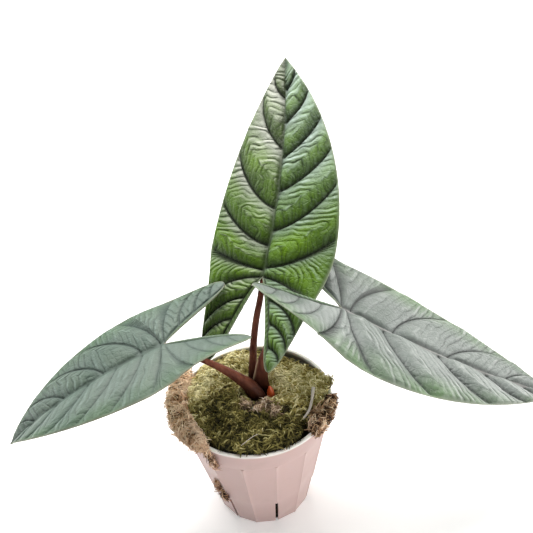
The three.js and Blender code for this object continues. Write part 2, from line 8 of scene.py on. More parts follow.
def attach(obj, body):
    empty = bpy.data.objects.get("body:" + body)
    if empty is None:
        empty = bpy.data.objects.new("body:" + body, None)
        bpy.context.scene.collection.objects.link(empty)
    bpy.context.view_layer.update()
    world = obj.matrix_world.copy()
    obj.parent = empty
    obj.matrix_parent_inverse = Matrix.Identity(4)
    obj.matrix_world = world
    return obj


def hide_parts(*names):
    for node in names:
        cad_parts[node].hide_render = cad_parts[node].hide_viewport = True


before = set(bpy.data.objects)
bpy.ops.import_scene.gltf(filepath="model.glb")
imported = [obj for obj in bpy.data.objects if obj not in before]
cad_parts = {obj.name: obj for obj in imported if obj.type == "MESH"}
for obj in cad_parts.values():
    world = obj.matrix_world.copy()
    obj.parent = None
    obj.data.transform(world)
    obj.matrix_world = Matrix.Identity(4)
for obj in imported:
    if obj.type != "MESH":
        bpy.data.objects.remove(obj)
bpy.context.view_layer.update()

# Shapes are given in millimetres in the CAD frame and turn into metres as each mesh is made. Scales and
# heights in materials, the floor and the lamps are in metres.
MM = 0.001
# Distance kept between pieces that would touch
GAP = 0.35
rng = np.random.default_rng(7)


# Camera, from the pot's rim and base in the photograph

CAMERA_AT = (14.4, -370.4, 453.0)
CAMERA_DOWN = math.radians(37.06)
CAMERA_ROLL = math.radians(-5.56)
FOCAL_PX = 900.0
FRAME_PX = 533.0
SENSOR = 36.0


def add_camera():
    ahead = Vector((0, math.cos(CAMERA_DOWN), -math.sin(CAMERA_DOWN)))
    level = Vector((1, 0, 0))
    above = level.cross(ahead)
    right = level * math.cos(CAMERA_ROLL) + above * math.sin(CAMERA_ROLL)
    up = right.cross(ahead)
    data = bpy.data.cameras.new("camera")
    data.sensor_width = SENSOR
    data.lens = SENSOR * FOCAL_PX / FRAME_PX
    data.clip_start = 0.01
    camera = bpy.data.objects.new("camera", data)
    bpy.context.scene.collection.objects.link(camera)
    turn = Matrix((right, up, -ahead)).transposed().to_4x4()
    camera.matrix_world = Matrix.Translation(Vector(CAMERA_AT) * MM) @ turn
    bpy.context.scene.camera = camera


# Repeatable noise between -1 and 1


def lattice(i, j, k):
    s = np.sin(i * 127.1 + j * 311.7 + k * 74.7) * 43758.5453
    return 2 * (s - np.floor(s)) - 1


def noise(x, y, z):
    x, y, z = np.broadcast_arrays(np.asarray(x, float), y, z)
    i, j, k = np.floor(x), np.floor(y), np.floor(z)
    u, v, w = (t * t * (3 - 2 * t) for t in (x - i, y - j, z - k))
    total = np.zeros(x.shape)
    for n in range(8):
        a, b, c = n & 1, (n >> 1) & 1, n >> 2
        weight = (u if a else 1 - u) * (v if b else 1 - v) * (w if c else 1 - w)
        total += lattice(i + a, j + b, k + c) * weight
    return total


def bell(value, width):
    return np.exp(-(value / width) ** 2)


def smooth(value, low, high):
    """Eased from 0 to 1 while the value runs from low to high."""
    t = np.clip((value - low) / (high - low), 0, 1)
    return t * t * (3 - 2 * t)


# Meshes


def make_mesh(name, points, faces, material, slot, node=None, marks=None):
    """A piece on the body, which stands for a CAD node if one is named; marks are numbers for its shader."""
    mesh = bpy.data.meshes.new(name)
    mesh.from_pydata((np.asarray(points, float) * MM).tolist(), [], [list(map(int, f)) for f in faces])
    for key, values in (marks or {}).items():
        mark = mesh.attributes.new(key, "FLOAT", "POINT")
        mark.data.foreach_set("value", np.asarray(values, np.float32))
    mesh.polygons.foreach_set("use_smooth", [True] * len(mesh.polygons))
    mesh.materials.append(material)
    thing = bpy.data.objects.new(name, mesh)
    bpy.context.scene.collection.objects.link(thing)
    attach(thing, "root")
    if node:
        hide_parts(node)
    return thing


def unit(vectors):
    """The vectors along the last axis, each brought to a length of one."""
    return vectors / np.maximum(np.linalg.norm(vectors, axis=-1, keepdims=True), 1e-6)


def polar(radius, degrees, z):
    """Points at a radius and an angle round the z axis."""
    angle = np.radians(degrees)
    return np.stack(np.broadcast_arrays(radius * np.cos(angle), radius * np.sin(angle), z), -1)


def loft(rings):
    """Points and faces of rings of equal count, with both ends closed by a fan."""
    rings = np.asarray(rings, float)
    total, count, _ = rings.shape
    points = np.vstack([rings.reshape(-1, 3), rings[0].mean(0), rings[-1].mean(0)])
    first, last, top = total * count, total * count + 1, (total - 1) * count
    pairs = [(j, (j + 1) % count) for j in range(count)]
    faces = [
        (row + j, row + k, row + count + k, row + count + j)
        for row in range(0, top, count) for j, k in pairs]
    for j, k in pairs:
        faces += [(first, k, j), (last, top + j, top + k)]
    return points, faces


def spline(stations, steps):
    """Catmull-Rom through the stations, with evenly spaced parameters."""
    s = np.asarray(stations, float)
    padded = np.vstack([2 * s[0] - s[1], s, 2 * s[-1] - s[-2]])
    out = []
    for u in np.linspace(0, len(s) - 1, steps):
        i = min(int(u), len(s) - 2)
        t = u - i
        a, b, c, d = padded[i:i + 4]
        out.append(0.5 * (2 * b + (c - a) * t + (2 * a - 5 * b + 4 * c - d) * t * t
                          + (3 * b - a - 3 * c + d) * t ** 3))
    return np.array(out)


def sweep(stations, wide, sides, steps, relief=None):
    """Rings along stations of x, y, z, half width and half depth; the half width lies along wide."""
    path = spline(stations, steps)
    along = unit(np.gradient(path[:, :3], axis=0))
    wide = np.asarray(wide, float)
    side = unit(wide - along * (along @ wide)[:, None])
    up = np.cross(along, side)
    angle = np.linspace(0, 2 * np.pi, sides, endpoint=False)
    scale = relief(np.linspace(0, 1, steps)[:, None], angle) if relief else 1
    half = np.maximum(path[:, 3:], 0.02)
    return (path[:, None, :3] + side[:, None] * (half[:, :1] * np.cos(angle) * scale)[..., None]
            + up[:, None] * (half[:, 1:] * np.sin(angle) * scale)[..., None])


# Shader nodes


class Shader:
    """Nodes of a new material, or of a new world."""

    def __init__(self, name, kind="materials"):
        self.owner = getattr(bpy.data, kind).new(name)
        self.owner.use_nodes = True
        self.tree = self.owner.node_tree
        self.surface = self.tree.nodes["Principled BSDF" if kind == "materials" else "Background"]

    def feed(self, socket, value):
        if isinstance(value, bpy.types.NodeSocket):
            self.tree.links.new(value, socket)
        else:
            socket.default_value = (*value, 1) if socket.type == "RGBA" else value

    def make(self, kind, output, inputs=None, **settings):
        """An output of a new node, once its settings and inputs are given."""
        made = self.tree.nodes.new("ShaderNode" + kind)
        for key, value in settings.items():
            setattr(made, key, value)
        for key, value in (inputs or {}).items():
            self.feed(made.inputs[key], value)
        return made.outputs[output]

    def mark(self, name):
        return self.make("Attribute", "Fac", attribute_name=name)

    def place(self):
        return self.make("TexCoord", "Object")

    def stretched(self, scale):
        return self.make("Mapping", "Vector", {"Vector": self.place(), "Scale": scale})

    def cloud(self, scale, detail=3.0, rough=0.55, vector=None):
        inputs = {"Vector": vector or self.place(), "Scale": scale, "Detail": detail, "Roughness": rough}
        return self.make("TexNoise", "Fac", inputs)

    def cells(self, scale, feature="F1"):
        return self.make("TexVoronoi", "Distance", {"Vector": self.place(), "Scale": scale}, feature=feature)

    def ramp(self, value, *stops):
        """Greys or colours at their positions along the value."""
        out = self.make("ValToRGB", "Color", {"Fac": value})
        elements = out.node.color_ramp.elements
        while len(elements) < len(stops):
            elements.new(0.5)
        for element, (at, colour) in zip(elements, stops):
            element.position = at
            element.color = (*colour, 1) if isinstance(colour, tuple) else (colour, colour, colour, 1)
        return out

    def mix(self, amount, first, second):
        return self.make("Mix", 2, {0: amount, 6: first, 7: second}, data_type="RGBA")

    def span(self, value, low, high, start=0.0, end=1.0):
        """The value eased from start to end while it runs from low to high."""
        inputs = {"Value": value, "From Min": low, "From Max": high, "To Min": start, "To Max": end}
        return self.make("MapRange", "Result", inputs, interpolation_type="SMOOTHSTEP")

    def math(self, operation, first, second=0.0, clamp=False):
        return self.make("Math", 0, {0: first, 1: second}, operation=operation, use_clamp=clamp)

    def times(self, first, *others):
        for other in others:
            first = self.math("MULTIPLY", first, other)
        return first

    def plus(self, first, second, clamp=False):
        return self.math("ADD", first, second, clamp)

    def minus(self, first, second):
        return self.math("SUBTRACT", first, second)

    def bump(self, height, strength, distance):
        inputs = {"Height": height, "Strength": strength, "Distance": distance}
        self.feed(self.surface.inputs["Normal"], self.make("Bump", "Normal", inputs))

    def set(self, **values):
        names = {
            "colour": "Base Color", "rough": "Roughness", "specular": "Specular IOR Level",
            "coat": "Coat Weight", "coat_rough": "Coat Roughness", "scatter": "Subsurface Weight",
            "scatter_scale": "Subsurface Scale", "glow": "Emission Strength",
        }
        for key, value in values.items():
            self.feed(self.surface.inputs[names[key]], value)
        return self.owner


# Leaf blades: angles in degrees, lengths in millimetres, outline ratios of the length ahead of the stalk

OUTLINE_WIDTH = 0.292
OUTLINE_LOBE = 0.381
OUTLINE_SPREAD = 0.043
# Width of a lobe where it starts, and the place of the widest part ahead of the stalk
LOBE_ROOT = OUTLINE_WIDTH * 0.93
WIDEST_AT = 0.12
LEAVES = ("centre", "left", "right")


def per_leaf(**table):
    """A record for each leaf, from rows with a value for the centre, the left and the right leaf."""
    return {leaf: {key: row[n] for key, row in table.items()} for n, leaf in enumerate(LEAVES)}


# Where pairs are given, they are for the left and right half of a blade
BLADES = per_leaf(
    at=((11.5, 25.5, 147), (-45, -1, 128.5), (53, 4, 137.5)), length=(137, 117, 144.5),
    yaw=(66.5, 191.5, -10), pitch=(39.5, -15.5, -35), roll=(-8, -3.5, -2.5), droop=(6.5, 31, -8),
    sway=(19.5, -16.5, 10), twist=(-9.5, -3.5, 5), fold=((3.5, 9), (12.5, 14.5), (6.5, 8.5)),
    arch=((-24, -24), (-17, -34.5), (-11.5, -18)), lobe_pitch=((6.5, 1), (27.5, 4.5), (24, 12.5)),
    lobe_fold=((2, 29.5), (18, 3.5), (0.5, 17.5)), lobe_yaw=((-1, 1), (-3, 6.5), (-29, 3.5)))

# Side veins from lobe tip to leaf tip, left and right half: start on the rib, end on the margin
LOBE_VEINS = [(-0.381, -0.381), (-0.285, -0.345), (-0.19, -0.3), (-0.095, -0.235), (0, -0.11)]
VEINS = {
    "centre": (
        [(0.03, 0.11), (0.135, 0.335), (0.295, 0.57), (0.56, 0.83), (0.8, 0.93)],
        [(0.04, 0.19), (0.2, 0.41), (0.37, 0.55), (0.52, 0.69), (0.68, 0.82), (0.84, 0.93)]),
    "left": (
        [(0.02, 0.11), (0.12, 0.32), (0.26, 0.5), (0.42, 0.68), (0.62, 0.84), (0.81, 0.93)],
        [(0.02, 0.23), (0.12, 0.51), (0.33, 0.74), (0.57, 0.87), (0.79, 0.94)]),
    "right": (
        [(0.04, 0.25), (0.235, 0.51), (0.48, 0.78), (0.75, 0.91)],
        [(0.02, 0.155), (0.19, 0.39), (0.44, 0.65), (0.66, 0.83), (0.84, 0.94)]),
}
ROW_STEP = 0.0052
COLUMNS = 60
STRIP_COLUMNS = 8
BLADE_THICKNESS = 0.7
MERGE_WITHIN = 0.004
# Depth and width, in millimetres, of the side veins, the channel along the midrib, the rib of a lobe, the
# line inside the margin and the keel below the midrib, and the height of the midrib in its channel
VEIN_DEPTH, VEIN_WIDTH = 0.4, 0.55
CHANNEL_DEPTH, CHANNEL_WIDTH = 0.85, 2.3
LOBE_RIB_DEPTH, LOBE_RIB_WIDTH = 0.5, 0.75
MARGIN_LINE_DEPTH, MARGIN_LINE_WIDTH = 0.14, 0.5
KEEL_DEPTH, KEEL_WIDTH = 1.25, 1.5
MIDRIB_HEIGHT = 0.4
# How far the crest of a panel swings, as a ratio of the panel, and the share of the fine ridges in the mesh
ZIGZAG = 0.06
COARSE = 0.5
# Exponent that rounds the fine ridges, and the part of their height that lies level with the leaf
RIDGE_ROUND = 0.6
RIDGE_LEVEL = 0.6
# Place of the crest in the last panel, as a ratio, and the slant of ridges in the lobes, in degrees
TIP_MIDDLE = 0.12
LOBE_SLANT = 14
LOBE_TAPER = (0.93, -0.31, 0.38)


def lobe_taper(q):
    """Width of a lobe along its length, from 1 at its root to 0 at its rounded tip."""
    rest = 1 - q
    tip, middle, root = LOBE_TAPER
    return np.sqrt(rest) * (tip + middle * rest + root * rest ** 2)


def lobe_part(y):
    """How far a point lies in a lobe, from 0 beside the stalk to 1 at the lobe's tip."""
    return np.clip(-y / OUTLINE_LOBE, 0, 1)


def outer_width(y):
    q = lobe_part(y)
    behind = LOBE_ROOT / 2 * lobe_taper(q) + LOBE_ROOT / 2 + OUTLINE_SPREAD * q
    near = OUTLINE_WIDTH * (1 - 0.07 * (np.clip(WIDEST_AT - y, 0, WIDEST_AT) / WIDEST_AT) ** 1.5)
    ahead = OUTLINE_WIDTH * (1 - (np.clip(y - WIDEST_AT, 0, 1 - WIDEST_AT) / (1 - WIDEST_AT)) ** 1.95)
    return np.where(y < 0, behind, np.where(y < WIDEST_AT, near, ahead))


def inner_width(y):
    q = lobe_part(y)
    return LOBE_ROOT / 2 + OUTLINE_SPREAD * q - LOBE_ROOT / 2 * lobe_taper(q)


def rib_at(y):
    """Distance from the midline of the rib: the midrib ahead of the stalk, inside the lobe behind it."""
    inner = inner_width(y)
    return np.where(y < 0, inner + 0.18 * np.sqrt(lobe_part(y)) * (outer_width(y) - inner), 0)


def blade_axes(yaw, pitch, roll):
    yaw, pitch, roll = (np.radians(a) for a in (yaw, pitch, roll))
    along = np.stack([np.cos(yaw) * np.cos(pitch), np.sin(yaw) * np.cos(pitch), np.sin(pitch)], -1)
    level = np.stack([np.sin(yaw), -np.cos(yaw), 0 * yaw], -1)
    raised = np.cross(level, along)
    c, s = np.cos(roll)[..., None], np.sin(roll)[..., None]
    return along, level * c - raised * s, raised * c + level * s


def place_on_blade(leaf, side, x, y):
    """Points of a blade's middle surface, for distances x across and y along as ratios of its length."""
    half = 0 if side < 0 else 1

    def axes(v):
        a = np.clip(v, 0, 1)
        q = lobe_part(v)
        return blade_axes(
            leaf["yaw"] + leaf["sway"] * a + leaf["lobe_yaw"][half] * q,
            leaf["pitch"] - leaf["droop"] * a + leaf["lobe_pitch"][half] * q,
            leaf["roll"] + leaf["twist"] * a)

    steps = 60
    spine = np.zeros(x.shape + (3,))
    for end, mask in ((1.0, y >= 0), (-OUTLINE_LOBE, y < 0)):
        middles = end * (np.arange(steps) + 0.5) / steps
        run = np.vstack([np.zeros(3), np.cumsum(axes(middles)[0] * end / steps, axis=0)])
        t = y[mask] / end * steps
        for n in range(3):
            spine[mask, n] = np.interp(t, np.arange(steps + 1), run[:, n])
    fold = np.radians(leaf["fold"][half] + leaf["lobe_fold"][half] * lobe_part(y))
    bend = math.radians(leaf["arch"][half]) / OUTLINE_WIDTH
    out = (np.sin(fold + bend * x) - np.sin(fold)) / bend
    rise = (np.cos(fold) - np.cos(fold + bend * x)) / bend
    _, across, up = axes(y)
    sheet = spine + side * across * out[..., None] + up * rise[..., None]
    return sheet * leaf["length"] + np.array(leaf["at"])


LEAF_MARKS = (
    "vein", "midrib", "edge", "rim", "shade", "face", "lip", "tip", "half", "calm", "phase", "strength",
    "cross", "depth")


def blade_rows(name):
    """Starts of the rows on the rib: every vein of both halves, and even steps between them."""
    knots = sorted({a for half in VEINS[name] for a, _ in half} | {a for a, _ in LOBE_VEINS} | {1.0})
    rows = [knots[0] + (knots[1] - knots[0]) * n for n in (0, 0.002, 0.008, 0.02, 0.038)]
    for low, high in zip(knots, knots[1:]):
        steps = max(2, math.ceil((high - low) / ROW_STEP))
        rows += [low + (high - low) * (n + 1) / steps for n in range(steps)]
    return np.array(rows)


def half_blade(name, side, look):
    """Grid of one half of a blade, with its relief in millimetres and marks for the shader."""
    length = BLADES[name]["length"]
    half = 0 if side < 0 else 1
    look = {key: value[half] if isinstance(value, tuple) else value for key, value in look.items()}
    veins = np.array(LOBE_VEINS + VEINS[name][half] + [(1, 1)])
    start = blade_rows(name)[:, None]
    panel = np.clip(np.searchsorted(veins[:, 0], start + 1e-9, side="right") - 1, 0, len(veins) - 2)
    # Starts and ends of the veins below and above each row, and how far the row lies between them
    low_vein, top_vein = (np.moveaxis(veins[panel + n], -1, 0) for n in (0, 1))
    first, last = top_vein - low_vein
    f = (start - low_vein[0]) / first
    end = low_vein[1] + last * f
    t = np.linspace(0, 1, COLUMNS + 1)[None]

    def place(start, end):
        y = start + (end - start) * t ** (1.65 - 0.5 * smooth(start, 0.1, 0.6))
        rib = rib_at(start) * (1 - t) ** 2 + rib_at(y) * (1 - (1 - t) ** 2)
        return rib, rib + t * (outer_width(y) - rib), y

    rib, x, y = place(start, end)
    # Distances within a panel: from the vein below and above, square to them
    wide = (outer_width(y) - rib) * length
    reach = np.hypot(wide, (end - start) * length)
    depth = (first + (last - first) * t) * length * wide / np.maximum(reach, 0.1)
    above, below = f * depth, (1 - f) * depth
    size = smooth(depth, 0.8, 7) * smooth(wide, 1, 9)
    shift = 31.7 * panel + 13.1 * side + look["seed"]
    across_mm, along_mm = x * length, y * length

    def cloud(size_mm, extra=0):
        return noise(across_mm / size_mm, along_mm / size_mm, shift + extra)

    middle = np.where(panel < len(veins) - 2, look["middle"], TIP_MIDDLE)
    middle = middle + 0.12 * noise(across_mm / 9, shift, 3.3)
    # Washboard ridges slant from the upper vein down to a zigzag crest in the middle of the panel, where
    # they bend and run on to the lower vein; they grow wider and steeper towards the tip
    bend = np.maximum(f, middle)
    _, x_bend, y_bend = place(low_vein[0] + first * bend, low_vein[1] + last * bend)
    near_stalk, low, high = look["slant"]
    ahead = low + (high - low) * smooth(y_bend, 0.5, 0.95)
    slant = np.where(start < -1e-6, LOBE_SLANT, np.where(panel < len(LOBE_VEINS), near_stalk, ahead))
    level = y_bend - x_bend * np.tan(np.radians(slant))
    widen = look["widen"]
    phase = length / (look["pitch"] * widen) * np.log(1 + widen * level)
    phase = phase + look["wander"] * (cloud(8) + 0.7 * cloud(4.4)) + 0.2 * shift
    ridge = np.abs(np.sin(np.pi * phase)) ** RIDGE_ROUND
    strength = 0.6 + 0.4 * lattice(np.floor(phase), shift, 2.0)
    # Here and there a ridge fades out and starts again
    strength = strength * (0.35 + 0.65 * smooth(cloud(3.2, 5), -0.5, 0.1))
    zigzag = np.abs(2 * (phase - np.floor(phase)) - 1) - 0.5
    crest = middle + ZIGZAG * zigzag
    upper = smooth(f, crest - 0.14, crest + 0.12)
    bent = np.where(f < crest, 0.5 * f / crest, 1 - 0.5 * (1 - f) / (1 - crest))
    bulge = np.sin(np.pi * bent) ** 0.8
    inner, outer = smooth(t, 0, 0.05), smooth(1 - t, 0.0, 0.06)
    lobe = look["lobes"]
    quiet = look["halves"] * (lobe + (1 - lobe) * smooth(start, -0.06, 0.03))
    calm = size * inner * outer * quiet
    strength = strength * (1 - look["smooth_rib"] * (1 - smooth(t, 0.08, 0.5)))
    deep = smooth(depth, 2, 22)
    relief = look["quilt"] * (0.55 + 0.6 * deep) * calm * (bulge - 0.5)
    fine = COARSE * calm * strength * (ridge - RIDGE_LEVEL)
    relief += look["ridge"] * (1 + 0.6 * smooth(y, 0.4, 0.95)) * upper * fine
    relief += look["facet"] * (1 - upper) * fine
    groove = bell(np.minimum(above, below), VEIN_WIDTH) * smooth(1 - t, 0.03, 0.2) * smooth(depth, 1, 6)
    groove = groove * ((panel > 0) | (f > 0.5)) * ((panel < len(veins) - 2) | (f < 0.5))
    across = (x - rib) * length
    fore = smooth(start, -0.02, 0.03)
    channel = bell(across, CHANNEL_WIDTH) * fore
    core = 0.7 - 0.35 * np.clip(start, 0, 1)
    band = (1 - smooth(across, 0.6 * core, 1.1 * core)) * fore
    hind = bell(across, LOBE_RIB_WIDTH) * (1 - fore)
    margin_line = bell((1 - t) * wide - 1.7, MARGIN_LINE_WIDTH) * smooth(wide, 3, 10)
    relief += MIDRIB_HEIGHT * band - VEIN_DEPTH * groove * inner - CHANNEL_DEPTH * channel
    relief += 0.15 * cloud(6) * inner * outer - LOBE_RIB_DEPTH * hind - MARGIN_LINE_DEPTH * margin_line
    keel = KEEL_DEPTH * bell(across, KEEL_WIDTH) * (1 - 0.75 * np.abs(start)) * np.where(start < 0, 0.55, 1)
    keel = keel + 0.35 * groove * inner
    flat = np.ones_like(y)
    shadow = 0.6 * np.exp(-above / 1.2) + 0.38 * bell(above, 4.6)
    flank = channel * (1 - band)
    # Marks for the shader: lip is where painted sheen lies below each vein, shade where painted shade lies
    # above a vein and beside the midrib
    grid = dict(
        x=x, y=y, relief=relief, keel=keel, vein=np.clip(groove * quiet + hind, 0, 1), midrib=band * flat,
        edge=np.exp(-((1 - t) * wide / 0.55)) * flat, rim=smooth(t, 0.5, 1) * flat,
        shade=np.clip(shadow * quiet * size * outer * (f < 0.5) + look["rib_shade"] * flank, 0, 1),
        face=bulge * calm * (1 - 0.8 * smooth(f, 0.6, 0.95)),
        lip=np.exp(-(below / 4.5) ** 1.4) * size * (f > 0.3),
        tip=smooth(y, 0.12, 0.9) * flat, half=half * flat, calm=calm, phase=phase, strength=strength,
        cross=f - middle, depth=depth)
    # Strip between the rib and the inner margin of the lobe
    root = start[start[:, 0] < 1e-9]
    s = np.linspace(1, 0, STRIP_COLUMNS + 1)[None, :-1]
    margin, rib = inner_width(root), rib_at(root)
    strip_wide = (rib - margin) * length
    swell = np.sin(np.pi * s) * smooth(strip_wide, 0.5, 4)
    near_rib = bell(s * strip_wide, LOBE_RIB_WIDTH)
    none = 0 * (s + root)
    strip = {key: none for key in LEAF_MARKS}
    strip.update(
        x=rib + (margin - rib) * s, y=root + none, relief=0.5 * swell - LOBE_RIB_DEPTH * near_rib, keel=none,
        vein=near_rib, edge=np.exp(-((1 - s) * strip_wide / 0.55)),
        rim=1 + none, half=half + none, calm=0.4 * swell, phase=root * length / 3 + s, strength=1 + none,
        cross=0.4 + none, depth=10 + none)
    return grid, strip, len(root)


def make_blade(name, look, material):
    leaf = BLADES[name]
    keys = ("relief", "keel") + LEAF_MARKS
    points, faces = [], []
    values = {key: [] for key in keys}
    offset = 0
    total_rows = len(blade_rows(name))
    for side in (-1, 1):
        grid, strip, strip_rows = half_blade(name, side, look)
        columns = STRIP_COLUMNS + COLUMNS + 1
        full = {}
        for key in ("x", "y") + keys:
            pad = np.repeat(grid[key][:, :1], STRIP_COLUMNS, axis=1)
            pad[:strip_rows] = strip[key]
            full[key] = np.hstack([pad, grid[key]])
        points.append(place_on_blade(leaf, side, full["x"], full["y"]).reshape(-1, 3))
        for key in keys:
            values[key].append(full[key].ravel())
        index = offset + np.arange(total_rows * columns).reshape(total_rows, columns)
        quads = np.stack([index[:-1, :-1], index[:-1, 1:], index[1:, 1:], index[1:, :-1]], -1)
        keep = np.ones(quads.shape[:2], bool)
        keep[strip_rows - 1:, :STRIP_COLUMNS] = False
        quads = quads[keep]
        faces.append(quads if side > 0 else quads[:, ::-1])
        offset += total_rows * columns
    points = np.vstack(points)
    faces = np.vstack(faces)
    values = {key: np.concatenate(v) for key, v in values.items()}
    # Merge what lies in one place, then drop faces that have shrunk to a line
    key = np.round(points / MERGE_WITHIN).astype(np.int64)
    _, keep, where = np.unique(key, axis=0, return_index=True, return_inverse=True)
    where = where.ravel()
    points = points[keep]
    values = {k: v[keep] for k, v in values.items()}
    faces = where[faces]
    clean = []
    for face in faces.tolist():
        ring = [v for n, v in enumerate(face) if v != face[n - 1]]
        if len(set(ring)) >= 3 and len(set(ring)) == len(ring):
            clean.append(ring)
    normals = np.zeros_like(points)
    quads = np.array([f for f in clean if len(f) == 4])
    flat = np.cross(points[quads[:, 2]] - points[quads[:, 0]], points[quads[:, 3]] - points[quads[:, 1]])
    for n in range(4):
        np.add.at(normals, quads[:, n], flat)
    normals = unit(normals)
    half = BLADE_THICKNESS / 2
    lift = values["relief"][:, None]
    slim = 1 - 0.55 * np.clip(values["edge"], 0, 1)[:, None]
    above = points + normals * (half * slim + lift)
    below = points + normals * (-half * slim + lift - values["keel"][:, None])
    count = len(points)
    edges = dict.fromkeys((face[n - 1], v) for face in clean for n, v in enumerate(face))
    both = clean + [[v + count for v in reversed(face)] for face in clean]
    for p, q in edges:
        if (q, p) not in edges:
            both.append([q, p, p + count, q + count])
    marks = {k: np.concatenate([values[k], values[k]]) for k in LEAF_MARKS}
    marks["under"] = np.concatenate([np.zeros(count), np.ones(count)])
    make_mesh("leaf_" + name, np.vstack([above, below]), both, material, look["slot"], "blade_" + name, marks)


def fine_ridges(s, look):
    """Masks of painted light and shade on the ridges, and their height, above and below the crest of a panel.
    """
    part = s.math("FRACT", s.mark("phase"))
    calm, strength = s.mark("calm"), s.mark("strength")
    ridge = s.math("POWER", s.math("SINE", s.times(part, math.pi)), RIDGE_ROUND)
    zigzag = s.math("ABSOLUTE", s.minus(s.times(part, 2.0), 1.0))
    level = s.minus(s.mark("cross"), s.times(s.minus(zigzag, 0.5), ZIGZAG))
    upper = s.times(s.span(level, -0.1, 0.1), calm)
    lower = s.times(s.span(level, 0.1, -0.1), calm)
    apart = s.math("ABSOLUTE", s.times(level, s.mark("depth")))
    # A line of painted highlight along the crest, which also stands a little higher
    crest = s.times(s.span(apart, 1.3, 0.0), calm, s.span(s.cloud(110, 2), 0.4, 0.65))
    # The side of a ridge that faces the tip gets painted light, the groove on its other side painted shade
    pale = s.times(s.span(part, 0.4, 0.62), s.span(part, 0.94, 0.74), strength)
    pale = s.times(pale, s.span(s.cloud(90, 3), 0.36, 0.6, 0.3, 1.0))
    lit = s.times(pale, upper, s.span(level, 0.0, 0.3, 0.6, 1.0))
    comb = s.times(pale, lower)
    dark = s.plus(s.span(part, 0.34, 0.06), s.span(part, 0.9, 0.98), clamp=True)
    dark = s.times(dark, strength, s.span(s.cloud(120, 2), 0.3, 0.55, 0.35, 1.0))
    groove = s.times(dark, upper)
    # Below the crest a short second crease splits each ridge
    split = s.span(s.math("ABSOLUTE", s.minus(part, 0.5)), 0.12, 0.0)
    split = s.times(split, s.span(level, -0.08, -0.25))
    # Painted shade in the creases of the lower zone, the second crease included
    crease = s.times(s.plus(dark, s.times(split, 0.6), clamp=True), lower)
    height = s.times(s.minus(ridge, RIDGE_LEVEL), strength)
    height = s.plus(s.times(height, upper, look["ridge"]), s.times(height, lower, look["facet"]))
    height = s.minus(height, s.times(split, lower, 0.4 * look["facet"]))
    height = s.plus(height, s.times(crest, 0.3 * look["ridge"]))
    cells = s.span(s.cells(330, "DISTANCE_TO_EDGE"), 0.0, 0.16)
    height = s.plus(height, s.times(cells, calm, 0.14 * look["ridge"]))
    return dict(upper=upper, crest=crest, lit=lit, groove=groove, comb=comb, crease=crease, height=height)


def leaf_material(name, paint, look):
    s = Shader(name)
    fine = fine_ridges(s, look)
    # Pale colours of painted sheen and highlights, one for each half of the blade
    wax = s.mix(s.mark("half"), paint["wax_left"], paint["wax_right"])
    dark = paint["dark"]
    patches = s.ramp(s.cloud(26, 3, 0.6), (0.38, 0), (0.62, 1))
    colour = s.mix(patches, paint["deep"], paint["body"])
    lime = s.times(s.mark("face"), s.ramp(s.cloud(45, 2), (0.35, 0.25), (0.62, 1)), paint["face"])
    colour = s.mix(lime, colour, paint["lime"])
    rim = s.times(s.mark("rim"), s.ramp(s.cloud(35, 2), (0.3, 0.3), (0.7, 1)), paint["rim"])
    colour = s.mix(rim, colour, paint["margin"])
    # Painted sheen towards the tip, stronger above the crest of each panel
    bloom = s.times(s.mark("tip"), s.ramp(s.cloud(60, 3), (0.3, 0.55), (0.7, 1)), paint["bloom"])
    bloom = s.times(bloom, s.plus(s.times(fine["upper"], 0.6), 0.4))
    colour = s.mix(bloom, colour, wax)
    # Painted sheen on the slope just below each vein, stronger towards the tip
    silver = s.times(s.mark("lip"), s.span(s.cloud(60, 2), 0.35, 0.6, 0.55, 1.0), paint["lip"])
    silver = s.times(silver, s.plus(s.times(s.mark("tip"), 0.6), 0.4))
    colour = s.mix(silver, colour, wax)
    # Strength of the painted light on the ridges, more towards the tip
    shine = s.plus(s.times(s.mark("tip"), paint["tip_ridge"]), paint["ridge"], clamp=True)
    # Painted light on ridges, crests and combs; painted shade in grooves, creases, above veins and by the
    # midrib
    layers = (
        (fine["lit"], shine, wax), (fine["crest"], paint["crest"], wax), (fine["comb"], paint["comb"], wax),
        (fine["groove"], paint["crease"], dark), (fine["crease"], paint["flute"], dark),
        (s.mark("shade"), paint["shade"], dark), (s.mark("vein"), paint["vein"], dark),
        (s.mark("midrib"), 0.85, paint["midrib"]), (s.mark("edge"), 0.6, paint["edge"]))
    for mask, share, top in layers:
        colour = s.mix(s.times(mask, share), colour, top)
    # Fine specks of the painted sheen colour, more of them towards the tip
    fleck = s.times(s.span(s.cloud(520, 2, 0.7), 0.4, 0.8), s.plus(s.times(s.mark("tip"), 0.14), 0.04))
    colour = s.mix(fleck, colour, wax)
    under = s.mix(s.mark("vein"), (0.17, 0.24, 0.13), (0.15, 0.05, 0.05))
    colour = s.mix(s.mark("under"), colour, under)
    rough = s.plus(s.times(s.cloud(90, 3), 0.16), paint["rough"])
    grain = s.plus(s.times(s.cells(1500), 0.03), s.times(s.cloud(700, 3), 0.06))
    s.bump(s.plus(fine["height"], grain), 1.0, MM)
    return s.set(colour=colour, rough=rough, specular=paint["specular"], coat=paint["coat"], coat_rough=0.3)


